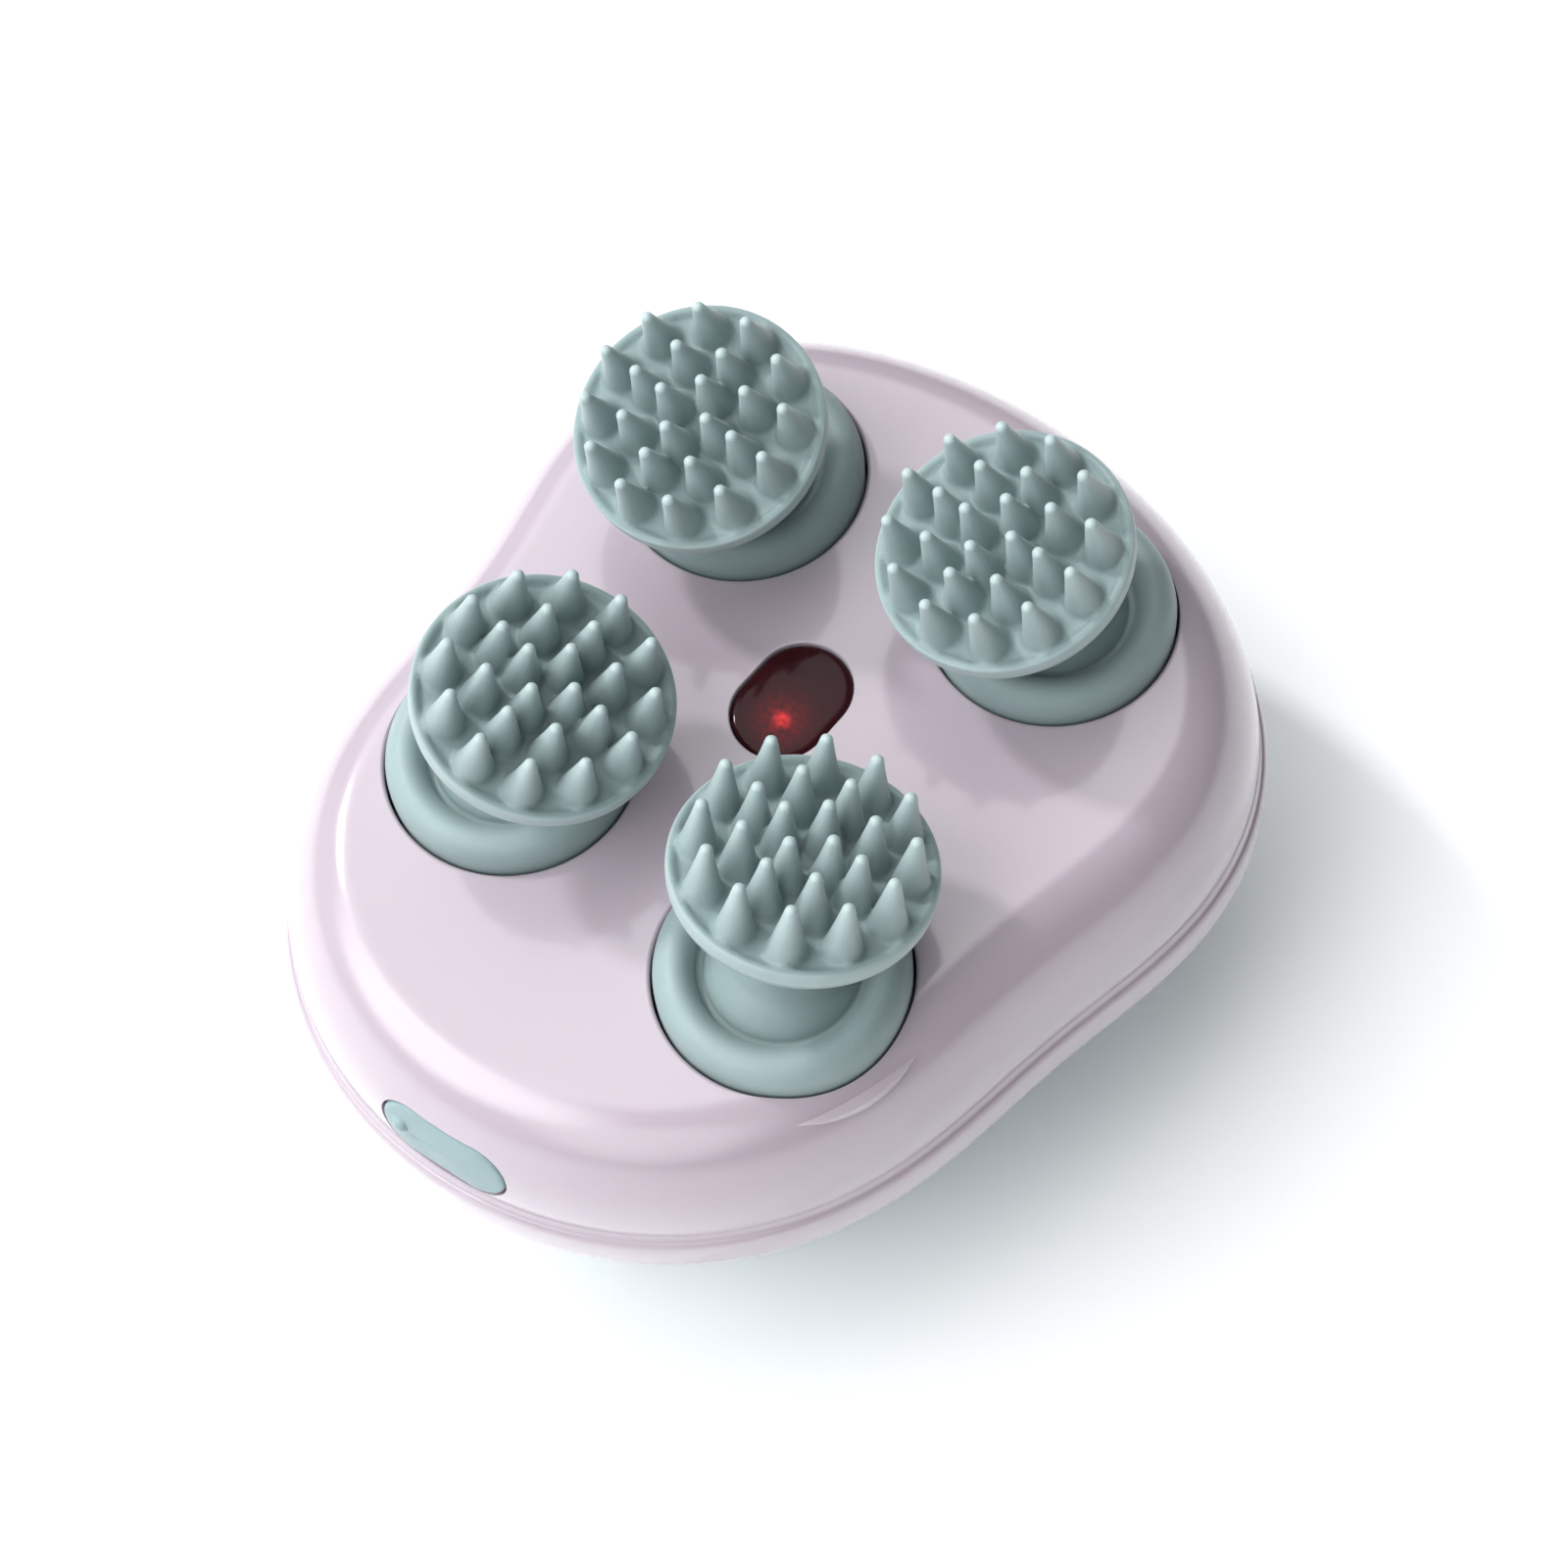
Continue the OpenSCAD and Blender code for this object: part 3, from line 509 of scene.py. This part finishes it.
MATERIALS = {
    "upper_shell": moulded("shell_lilac_pink", PINK, 0.16, 0.02, Coat_Weight=0.7,
                           Coat_Roughness=0.06, Subsurface_Weight=0.08, Subsurface_Scale=0.003),
    "lower_shell": moulded("shell_pale_teal", TEAL, 0.2, 0.02, Coat_Weight=0.6,
                           Coat_Roughness=0.07),
    "gasket": moulded("gasket_black", (0.02, 0.02, 0.022), 0.7, grain=0.00002),
    "head_silicone": silicone("silicone_heads", SAGE, SAGE_THIN_GLOW),
    "collar_silicone": silicone("silicone_collars", scaled(SAGE, 1.12), SAGE_THIN_GLOW),
    "acetal": moulded("acetal_ivory", (0.80, 0.78, 0.72), 0.4, grain=0.00001),
    "screw_steel": metal("screw_zinc", (0.62, 0.63, 0.65), 0.3),
    "bush_brass": metal("bush_brass", (0.78, 0.58, 0.27), 0.28, (1, 1, 0.1)),
    "shaft_steel": metal("shaft_ground", (0.66, 0.67, 0.69), 0.2, (1, 1, 0.1)),
    "gearbox_steel": metal("gearbox_pressed", (0.58, 0.59, 0.61), 0.35),
    "motor_can": metal("motor_can", (0.48, 0.49, 0.51), 0.38, (8, 8, 1)),
    "frame_plastic": moulded("frame_pale_grey", (0.62, 0.63, 0.65), 0.5, grain=0.00003),
    "battery_wrap": moulded("battery_green_wrap", (0.05, 0.30, 0.20), 0.25, Coat_Weight=0.5),
    "circuit_board": board_material(),
    "switch_black": moulded("switch_black", (0.02, 0.02, 0.02), 0.5, grain=0.00002),
    "button_plastic": moulded("button_pale_teal", TEAL, 0.22, 0.02, Coat_Weight=0.5),
    "socket_steel": metal("socket_plated", (0.55, 0.56, 0.58), 0.3),
    "cover_silicone": silicone("silicone_port_cover", (0.245, 0.340, 0.354), (0.40, 0.50, 0.52)),
    "window_lens": window_material(),
    "led_red": moulded("led_red", (0.6, 0.03, 0.03), 0.3, Coat_Weight=0.4),
}
SLOTS = {s["node"]: s["material_slot"] for s in frame["record"]["subparts"]}


def finish_piece(obj, slot, body, *nodes):
    """Gives a new piece its material and its body, and hides the CAD nodes that it stands for."""
    obj.data.materials.clear()
    obj.data.materials.append(MATERIALS[slot])
    obj.data.materials.append(MATERIALS[slot])
    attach(obj, body)
    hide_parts(*nodes)


def tag_thin_glow(obj, values):
    """Stores, per vertex, how thin the silicone is and so how much painted glow of light through it to add, from 0
    to 1.
    """
    attribute = obj.data.attributes.new("thin_glow", "FLOAT", "POINT")
    attribute.data.foreach_set("value", np.clip(values, 0, 1).astype(np.float32))


# ---- shells ------------------------------------------------------------------------------------

head_at = {k: np.array(joints[f"head_{k}_turn"]["pos_m"]) / MM for k in HEADS}
head_axis = {k: Vector(joints[f"head_{k}_turn"]["axis"]) for k in HEADS}
CEILING_Z = TOP_Z - TOP_WALL
SEAT_Z = CEILING_Z - SEAT_H
BUTTON_R = 8.0
lens_low, lens_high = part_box("window_lens")
LENS_FLANGE = 0.8
LENS_GAP = 0.1
WINDOW_W = (lens_high.x - lens_low.x) / MM - 2 * LENS_FLANGE
WINDOW_LEN = (lens_high.y - lens_low.y) / MM - 2 * LENS_FLANGE
WINDOW_AT = np.array((lens_low + lens_high) / 2) / MM

# The port's frame: +Z out of the wall, +X along it, from the hinge of its cover.
swing = joints["port_cover_swing"]
port_y = Vector(swing["axis"]).normalized()
port_x = Vector((port_y.y, -port_y.x, 0)).normalized()
if port_x.x < 0:
    port_x.negate()
port_z = port_x.cross(port_y).normalized()
HINGE_LOCAL = (8.1, 0.0, -0.5)
port_origin = (Vector(swing["pos_m"]) / MM - port_x * HINGE_LOCAL[0] - port_z * HINGE_LOCAL[2])
PORT = Matrix((port_x, port_y, port_z)).transposed().to_4x4()
PORT.translation = port_origin
UP = Vector((0, 0, 1))
PLUG = Matrix((port_x, UP, port_x.cross(UP))).transposed().to_4x4()
PLUG.translation = port_origin
PORT_SLOPE = math.asin(port_z.z)
COVER_W, COVER_H, COVER_T = 16.0, 8.0, 1.1
COVER_GAP = 0.3
RECESS = 1.5
SOCKET_W, SOCKET_H, SOCKET_ROOM = 8.94, 3.26, 0.5

# Posts and screws, on bearings round the outline.
SCREW_INSET, BOSS_R, SCREW_R, SCREW_HEAD_R, CASE_SEAT = 10.0, 3.1, 1.2, 2.4, 14.0
BOARD_POST_R, BOARD_HOLE_R = 2.2, 1.0
PLATE_Z, BOARD_Z = 24.6, 6.6


def inset_at(bearings):
    p, n = outline(np.radians(bearings))
    return p - SCREW_INSET * n


case_at = inset_at([2, 90, 176, 243, 288])
deck_at = inset_at([30, 102, 189, 257])
board_at = np.array([[-0.5 + x * 19.5, -4 + y * 24.5] for x in (-1, 1) for y in (-1, 1)])


def tube(centre, r, low, high, n=64):
    """Rings of an upright cylinder."""
    return [circle_ring(centre, r, low, n), circle_ring(centre, r, high, n)]


def upper_shell():
    lining = moved(np.array([[0.2, SEAM_Z + SEAM_GAP / 2], [0.1, SEAM_Z + 3]]
                            + quarter(shoulder, 18)), WALL, TOP_WALL)
    obj = new_object("upper_shell_skin",
                     *stack(outline_rings(list(lining[::-1]) + list(UPPER_SECTION))))
    combine(obj, "UNION", *[tube(p, BOSS_R, SEAM_Z + SEAM_GAP / 2, CEILING_Z + 0.4)
                            for p in case_at])
    for k in HEADS:
        combine(obj, "UNION", tube(head_at[k], OPENING_R + SEAT_W, SEAT_Z, CEILING_Z + 0.5, 128))
    combine(obj, "DIFFERENCE", *[tube(p, SCREW_R, SEAM_Z - 1, SEAM_Z + 9) for p in case_at])
    for k in HEADS:
        rings = [circle_ring(head_at[k], OPENING_R, SEAT_Z - 2)]
        rings += [circle_ring(head_at[k], OPENING_R + LIP_FILLET * (1 - math.cos(a)),
                              TOP_Z - LIP_FILLET + LIP_FILLET * math.sin(a))
                  for a in np.radians(range(0, 91, 15))]
        rings += [circle_ring(head_at[k], OPENING_R + LIP_FILLET, TOP_Z + 2)]
        combine(obj, "DIFFERENCE", rings)
    turn = Matrix.Translation(WINDOW_AT * [1, 1, 0]) @ Matrix.Rotation(math.pi / 2, 4, "Z")
    rings = [stadium_ring(WINDOW_LEN, WINDOW_W, CEILING_Z - 2)]
    rings += [stadium_ring(WINDOW_LEN + 2 * e, WINDOW_W + 2 * e, TOP_Z + z)
              for e, z in ((0, -0.3), (0.06, -0.12), (0.15, -0.03), (0.3, 0), (0.3, 1))]
    combine(obj, "DIFFERENCE", placed(rings, turn))
    mouth = [stadium_ring(COVER_W + 2 * COVER_GAP, COVER_H + 2 * COVER_GAP, z) for z in (-5, 3)]
    recess = new_object("tool", *stack(placed(mouth, PORT)), material_index=1)
    band = moved(np.array([shoulder(math.radians(u)) for u in range(0, 61, 3)]), RECESS, RECESS)
    combine(recess, "DIFFERENCE", outline_rings(list(band)))
    combine_with(obj, recess, "DIFFERENCE")
    plug_mouth = [stadium_ring(SOCKET_W + SOCKET_ROOM, SOCKET_H + SOCKET_ROOM, z)
                  for z in (-2 * WALL - 1, 0)]
    combine(obj, "DIFFERENCE", placed(plug_mouth, PLUG))
    set_true_normals(obj, UPPER_SECTION)
    finish_piece(obj, "upper_shell", "housing", "upper_shell")


def lower_shell():
    lining = moved(LOWER_SECTION, WALL, WALL)
    obj = new_object("lower_shell_skin",
                     *stack(outline_rings(list(LOWER_SECTION[::-1]) + list(lining))))
    posts = [tube(p, BOSS_R, -1, SEAM_Z - SEAM_GAP / 2) for p in case_at]
    posts += [tube(p, BOSS_R, -1, PLATE_Z) for p in deck_at]
    posts += [tube(p, BOARD_POST_R, -1, BOARD_Z) for p in board_at]
    tool = new_object("tool", *solids(*posts), material_index=1)
    combine(tool, "INTERSECT", outline_rings(list(moved(LOWER_SECTION, WALL / 2, WALL / 2)[::-1])))
    combine_with(obj, tool, "UNION")
    hole_r = BUTTON_R + COVER_GAP
    button_hole = ((hole_r + 0.4, -1), (hole_r + 0.4, 0), (hole_r + 0.12, 0.12), (hole_r, 0.4),
                   (hole_r, 5))
    screw_hole = ((SCREW_HEAD_R + 0.3, -1), (SCREW_HEAD_R + 0.3, CASE_SEAT), (SCREW_R, CASE_SEAT),
                  (SCREW_R, SEAM_Z + 1))
    holes = [[circle_ring((0, 0), r, z) for r, z in button_hole]]
    holes += [[circle_ring(p, r, z, 64) for r, z in screw_hole] for p in case_at]
    holes += [tube(p, SCREW_R, PLATE_Z - 9, SEAM_Z) for p in deck_at]
    holes += [tube(p, BOARD_HOLE_R, WALL, SEAM_Z) for p in board_at]
    combine(obj, "DIFFERENCE", *holes)
    set_true_normals(obj, LOWER_SECTION)
    finish_piece(obj, "lower_shell", "housing", "lower_shell")


# ---- heads -------------------------------------------------------------------------------------

DISC_R, DISC_T, DISC_S, RIM = 14.0, 2.2, 23.1, 0.5
NECK_R, DOME_R, DOME_T, CORE_R, CORE_TOP = 6.3, 10.9, 1.2, 5.0, 16.5
CONE_H = 7.6
CONE_ROWS = ((12, 0.78), (8, 0.478), (4, 0.222))
TIP_R = 0.68
tip = [[TIP_R * math.sin(a), CONE_H - TIP_R * (1 - math.cos(a))]
       for a in np.radians(range(0, 79, 13))]
CONE_PROFILE = np.array(tip + [[1.02, 5.2], [1.37, 3.6], [1.70, 2.1], [1.98, 0.9], [2.12, 0.45],
                               [2.26, 0.2], [2.46, 0.06], [2.75, 0.0]])
cone_at = np.array([[ratio * DISC_R * math.cos(2 * math.pi * i / count),
                     ratio * DISC_R * math.sin(2 * math.pi * i / count)]
                    for count, ratio in CONE_ROWS for i in range(count)])
_cone_curve = np.array(smooth(CONE_PROFILE, 6))
FACE_R = DISC_R - 0.35
SEGMENTS = 160
# Radii of the mesh's rings round each cone, closer where its flank turns.
CONE_MESH_R = (0.17, 0.33, 0.46, 0.56, 0.63, 0.67, 0.75, 0.86, 1.02, 1.2, 1.37, 1.54, 1.7, 1.85,
               1.98, 2.06, 2.13, 2.21, 2.32, 2.46, 2.65, 2.9, 3.3, 3.9)


def face_height(xy):
    """Height of the kneading face above the disc: cones, the webs between them and the rim."""
    r = np.linalg.norm(xy, axis=1)
    near = np.linalg.norm(xy[:, None, :] - cone_at[None], axis=2)
    h = np.interp(near, _cone_curve[:, 0], _cone_curve[:, 1], right=0)
    cones = (h ** 3).sum(1) ** (1 / 3)
    t = np.clip((r - (DISC_R - 1.35)) / 0.7, 0, 1)
    rim = RIM * t * t * (3 - 2 * t)
    return np.maximum(cones, 0) + rim * (1 - np.clip(cones / 3, 0, 1)), cones


def face_mesh():
    """Points and triangles of the kneading face, rings of points round each cone."""
    points = [np.array([[FACE_R * math.cos(a), FACE_R * math.sin(a)]
                        for a in np.arange(SEGMENTS) * 2 * math.pi / SEGMENTS])]
    for r in (DISC_R - 0.6, DISC_R - 0.85, DISC_R - 1.1, DISC_R - 1.35):
        a = (np.arange(SEGMENTS) + 0.5 * (round((DISC_R - r) * 4) % 2)) * 2 * math.pi / SEGMENTS
        points.append(np.column_stack([r * np.cos(a), r * np.sin(a)]))
    for c in cone_at:
        points.append(c[None])
        for row, rho in enumerate(CONE_MESH_R):
            count = 20 if rho < 0.6 else 28
            a = (np.arange(count) + 0.5 * (row % 2)) * 2 * math.pi / count
            ring = c + rho * np.column_stack([np.cos(a), np.sin(a)])
            own = np.linalg.norm(ring[:, None, :] - cone_at[None], axis=2).min(1) > rho - 1e-6
            inside = np.linalg.norm(ring, axis=1) < DISC_R - 1.5
            if rho < 3:
                inside |= np.linalg.norm(ring, axis=1) < DISC_R - 1.0
            points.append(ring[own & inside])
    xy = np.vstack(points)
    rim = [list(range(SEGMENTS))]
    verts, _, faces = delaunay_2d_cdt([Vector(p) for p in xy], [], rim, 1, 1e-5)[:3]
    return np.array([list(v) for v in verts]), faces


def head_profile():
    """The head below its face, from the inner edge of its socket round the dome to the rim."""
    inner = [[CORE_R, CORE_TOP], [CORE_R, 4], [CORE_R + 1.2, 4],
             [CORE_R + 1.2, math.sqrt((DOME_R - DOME_T) ** 2 - (CORE_R + 1.2) ** 2)]]
    inner += [[(DOME_R - DOME_T) * math.sin(a), (DOME_R - DOME_T) * math.cos(a)]
              for a in np.radians(range(44, 69, 4))]
    dome = [[DOME_R * math.sin(a), DOME_R * math.cos(a)] for a in np.radians(range(68, 43, -2))]
    under = DISC_S - DISC_T
    neck = smooth([[7.25, 8.15], [NECK_R + 0.4, 9.2], [NECK_R + 0.1, 10.2], [NECK_R, 11.6],
                   [NECK_R + 0.1, 13.6], [NECK_R + 0.7, 16.2], [NECK_R + 1.9, 18.6],
                   [NECK_R + 3.6, under - 0.6], [NECK_R + 5, under - 0.2],
                   [DISC_R - 0.8, under]], 4)
    edge = smooth([[DISC_R - 0.8, under], [DISC_R - 0.2, under + 0.3], [DISC_R, under + 1],
                   [DISC_R, DISC_S + RIM - 0.3], [FACE_R, DISC_S + RIM]], 4)
    return inner, dome + neck + edge[1:]


def massage_head(k):
    face_xy, face_tris = face_mesh()
    height, cones = face_height(face_xy)
    verts = [(x, y, DISC_S + h) for (x, y), h in zip(face_xy, height)]
    # Painted glow: the cones are drawn paler up towards their tips, standing in for light through the thin
    # silicone.
    thin_glow = list(0.3 * np.clip(cones / 1.2, 0, 1)
                + 0.65 * np.clip(cones / CONE_H - 0.35, 0, 1) / 0.65)
    faces = [tuple(f) for f in face_tris]
    inner, outer = head_profile()
    profile = [[0, CORE_TOP]] + inner + outer
    side_verts, side_faces = revolve(profile[:-1], SEGMENTS)
    start = len(verts)
    verts += side_verts
    faces += [tuple(start + v for v in f) for f in side_faces]
    # Painted glow: a pale line round the disc's rim, standing in for light through its thin lip.
    thin_glow += [0.55 * float(np.clip((r - FACE_R) / 0.3, 0, 1)) * float(z > DISC_S - 1.4)
             for r, z in np.array([[math.hypot(v[0], v[1]), v[2]] for v in side_verts])]
    last = len(verts) - SEGMENTS
    for i in range(SEGMENTS):
        j = (i + 1) % SEGMENTS
        faces.append((last + i, last + j, j, i))
    obj = new_object(f"head_{k}_silicone", verts, faces)
    tag_thin_glow(obj, np.array(thin_glow))
    obj.data.set_sharp_from_angle(angle=math.radians(60))
    tilt = Vector((0, 0, 1)).rotation_difference(head_axis[k]).to_matrix().to_4x4()
    obj.data.transform(Matrix.Translation(Vector(head_at[k]) * MM) @ tilt)
    finish_piece(obj, "head_silicone", f"head_{k}", f"massage_head_{k}")


COLLAR_R, COLLAR_LIP_R, COLLAR_H, COLLAR_GAP_TO_DOME = 13.7, 9.0, 3.6, 0.05
FLANGE_R, FLANGE_T = 15.1, 1.4


def head_collar(k):
    """The fat ring round a head's foot. Its inner lip lies close on the dome."""
    pivot = head_at[k]
    top = TOP_Z - pivot[2]
    seat = SEAT_Z - pivot[2]
    ball = DOME_R + COLLAR_GAP_TO_DOME
    middle, half = (COLLAR_R + COLLAR_LIP_R) / 2, (COLLAR_R - COLLAR_LIP_R) / 2
    crest = [[middle + half * math.cos(a), top + 0.3 + (COLLAR_H - 0.3) * math.sin(a)]
             for a in np.radians(range(0, 151, 6))]
    lip = smooth([crest[-1], [COLLAR_LIP_R + 0.12, top + 1.1],
                  [8.55, ball_height(8.55, ball) + 0.12], [8.3, ball_height(8.3, ball)]], 4)
    under = [[ball * math.sin(a), ball * math.cos(a)] for a in np.radians(range(50, 94, 3))]
    profile = (under + [[FLANGE_R, seat - FLANGE_T], [FLANGE_R, seat], [COLLAR_R, seat]]
               + crest + lip[1:])
    verts, faces = revolve(profile, SEGMENTS)
    last = (len(profile) - 1) * SEGMENTS
    faces += [(last + i, last + (i + 1) % SEGMENTS, (i + 1) % SEGMENTS, i)
              for i in range(SEGMENTS)]
    obj = new_object(f"collar_{k}_silicone", np.array(verts) + pivot, faces)
    # Painted light: the collar is drawn paler towards its crest, up to a quarter of the way to the pale colour.
    tag_thin_glow(obj, np.array([0.25 * max(0.0, (v[2] - top) / COLLAR_H) for v in verts]))
    obj.data.set_sharp_from_angle(angle=math.radians(50))
    finish_piece(obj, "collar_silicone", "housing", f"head_collar_{k}")


def ball_height(r, ball):
    return math.sqrt(ball * ball - r * r)


# ---- window and port cover ---------------------------------------------------------------------


def window_lens():
    turn = Matrix.Translation(WINDOW_AT * [1, 1, 0]) @ Matrix.Rotation(math.pi / 2, 4, "Z")
    w, h = WINDOW_LEN - 2 * LENS_GAP, WINDOW_W - 2 * LENS_GAP
    steps = [(-LENS_FLANGE - LENS_GAP, CEILING_Z - 0.8), (-LENS_FLANGE - LENS_GAP, CEILING_Z),
             (0, CEILING_Z), (0, TOP_Z - 0.75), (0.06, TOP_Z - 0.5), (0.2, TOP_Z - 0.32),
             (0.45, TOP_Z - 0.22), (0.9, TOP_Z - 0.17), (1.8, TOP_Z - 0.13), (3.2, TOP_Z - 0.11),
             (4.8, TOP_Z - 0.1)]
    obj = new_object("window_lens_moulding", *stack(placed(
        [stadium_ring(w - 2 * e, h - 2 * e, z, 48) for e, z in steps], turn)))
    obj.data.set_sharp_from_angle(angle=math.radians(60))
    finish_piece(obj, "window_lens", "housing", "window_lens")


def wall_height(xy):
    """For points (x, y) of the port's frame, how high the shell's outside lies along its +Z."""
    low, high = np.full(len(xy), -6.0), np.full(len(xy), 3.0)
    m = np.array(PORT)
    for _ in range(24):
        z = (low + high) / 2
        p = np.column_stack([xy, z]) @ m[:3, :3].T + m[:3, 3]
        inset, _ = inset_of(p[:, :2])
        u = np.arcsin(np.clip((p[:, 2] - SHOULDER_Z) / SHOULDER_H, 0, 1))
        outside = inset < SHOULDER_D + SHOULDER_W * (1 - np.cos(u))
        high = np.where(outside, z, high)
        low = np.where(outside, low, z)
    return (low + high) / 2


def port_cover():
    steps = [(0.4, COVER_T), (0, COVER_T - 0.1), (0, 0.35), (0.03, 0.15), (0.12, 0.02),
             (0.28, -0.07), (0.5, -0.1), (0.9, -0.1), (1.5, -0.1), (2.3, -0.1), (3.2, -0.1),
             (3.85, -0.1)]
    rings = []
    for e, depth in steps:
        ring = stadium_ring(COVER_W - 2 * e, COVER_H - 2 * e, 0, 32)
        ring[:, 2] = wall_height(ring[:, :2]) - depth
        rings.append(ring)
    obj = new_object("port_cover_silicone", *stack(placed(rings, PORT)))
    nub_at = (-COVER_W * 0.33, COVER_H * 0.06)
    foot = wall_height(np.array([nub_at]))[0]
    grip = [circle_ring(nub_at, r, foot + z, 32) for r, z in
            ((1.3, -0.7), (1.3, -0.13), (1.12, 0.03), (0.98, 0.2), (0.84, 0.45), (0.6, 0.66),
             (0.3, 0.77))]
    combine(obj, "UNION", placed(grip, PORT))
    plug_depth = RECESS / math.cos(PORT_SLOPE) + 1.05
    plug = [stadium_ring(SOCKET_W - 0.8 - 2 * e, SOCKET_H - 1.3 - 2 * e, z - plug_depth)
            for e, z in ((0.25, 0), (0.06, 0.08), (0, 0.3), (0, 2))]
    combine(obj, "UNION", placed(plug, PLUG))
    tag_thin_glow(obj, np.zeros(len(obj.data.vertices)))
    obj.data.set_sharp_from_angle(angle=math.radians(60))
    finish_piece(obj, "cover_silicone", "port_flap", "port_cover")


# ---- stage, light and camera -------------------------------------------------------------------


def aim(obj, target, roll=0.0):
    """Turns a camera or light to look at target, rolled by roll degrees to the left."""
    forward = (Vector(target) - obj.location).normalized()
    right = forward.cross(Vector((0, 0, 1))).normalized()
    up = right.cross(forward)
    c, s = math.cos(math.radians(roll)), math.sin(math.radians(roll))
    x_axis, y_axis = right * c - up * s, right * s + up * c
    turn = Matrix((x_axis, y_axis, -forward)).transposed()
    obj.rotation_euler = turn.to_euler()


def area_light(name, place, target, size, power, colour=(1, 1, 1)):
    data = bpy.data.lights.new(name, "AREA")
    data.energy = power
    data.color = colour
    data.size = size
    obj = bpy.data.objects.new(name, data)
    bpy.context.scene.collection.objects.link(obj)
    obj.location = place
    aim(obj, target)
    return obj


def floor_material():
    """White paper with a painted pool of light: drawn white near the object, fading to a pale grey away from it,
    and glowing very faintly near it as painted extra light.
    """
    mat, shader = material("floor_white", (0.93, 0.935, 0.945), 0.6, Specular_IOR_Level=0.2,
                           Emission_Color=(0.93, 0.97, 1.0, 1))
    away = add(mat, "ShaderNodeVectorMath", operation="LENGTH")
    link(mat, coordinates(mat), away.inputs[0])
    # Painted pool of light: white near the object, fading to grey and losing its faint glow further away.
    near = spread(mat, away.outputs["Value"], 1, 0, 0.22, 0.75)
    paper = mix(mat, spread(mat, noise(mat, 3, 2), 0, 1), (0.925, 0.93, 0.94), (0.935, 0.94, 0.95))
    link(mat, mix(mat, near, (0.42, 0.42, 0.43), paper), shader.inputs["Base Color"])
    link(mat, spread(mat, near, 0, 0.03, 0, 1), shader.inputs["Emission Strength"])
    return mat


# Soft lights painted on the sky: bearing and height in degrees, the cosines from their centre at
# which they fade out and are full, and their strength.
SOFT_LIGHTS = ((160, 62, 0.80, 0.97, 2.0), (240, 45, 0.82, 0.97, 4.4), (300, 30, 0.85, 0.98, 1.7))
SKY = 0.12


def studio_world():
    """A dim sky with three broad soft lights on it."""
    world = bpy.data.worlds.new("studio")
    world.use_nodes = True
    background = world.node_tree.nodes["Background"]
    background.inputs["Color"].default_value = (0.99, 1.0, 1.015, 1)
    view = add(world, "ShaderNodeTexCoord").outputs["Generated"]
    strength = None
    for bearing, height, fade, full, power in SOFT_LIGHTS:
        a, e = math.radians(bearing), math.radians(height)
        towards = add(world, "ShaderNodeVectorMath", operation="DOT_PRODUCT")
        link(world, view, towards.inputs[0])
        towards.inputs[1].default_value = (math.cos(e) * math.cos(a), math.cos(e) * math.sin(a),
                                           math.sin(e))
        lobe = add(world, "ShaderNodeMapRange", interpolation_type="SMOOTHSTEP")
        for socket, value in (("From Min", fade), ("From Max", full), ("To Max", power)):
            lobe.inputs[socket].default_value = value
        link(world, towards.outputs["Value"], lobe.inputs["Value"])
        total = add(world, "ShaderNodeMath", operation="ADD")
        total.inputs[1].default_value = SKY
        if strength:
            link(world, strength, total.inputs[1])
        link(world, lobe.outputs["Result"], total.inputs[0])
        strength = total.outputs[0]
    link(world, strength, background.inputs["Strength"])
    bpy.context.scene.world = world


def stage():
    floor = new_object("floor", [(-4000, -4000, 0), (4000, -4000, 0), (4000, 4000, 0),
                                 (-4000, 4000, 0)], [(0, 1, 2, 3)])
    floor.data.materials.append(floor_material())
    studio_world()
    area_light("key", (-0.86, -0.075, 0.88), (0, 0, 0.03), 0.12, 6.8, (1.0, 0.99, 1.0))
    bpy.context.scene.view_settings.view_transform = "Standard"


def camera():
    data = bpy.data.cameras.new("camera")
    data.sensor_width = 36
    data.lens = 78.75
    data.clip_start = 0.01
    obj = bpy.data.objects.new("camera", data)
    bpy.context.scene.collection.objects.link(obj)
    obj.location = (0.1229, -0.1149, 0.3818)
    aim(obj, (0.0066, -0.0026, 0.050), 7.08)
    bpy.context.scene.camera = obj


# ---- the scene ---------------------------------------------------------------------------------

camera()
stage()
for node, cad in frame["nodes"].items():
    cad.data.materials.clear()
    cad.data.materials.append(MATERIALS[SLOTS[node]])
upper_shell()
lower_shell()
for head in HEADS:
    head_collar(head)
    massage_head(head)
window_lens()
port_cover()
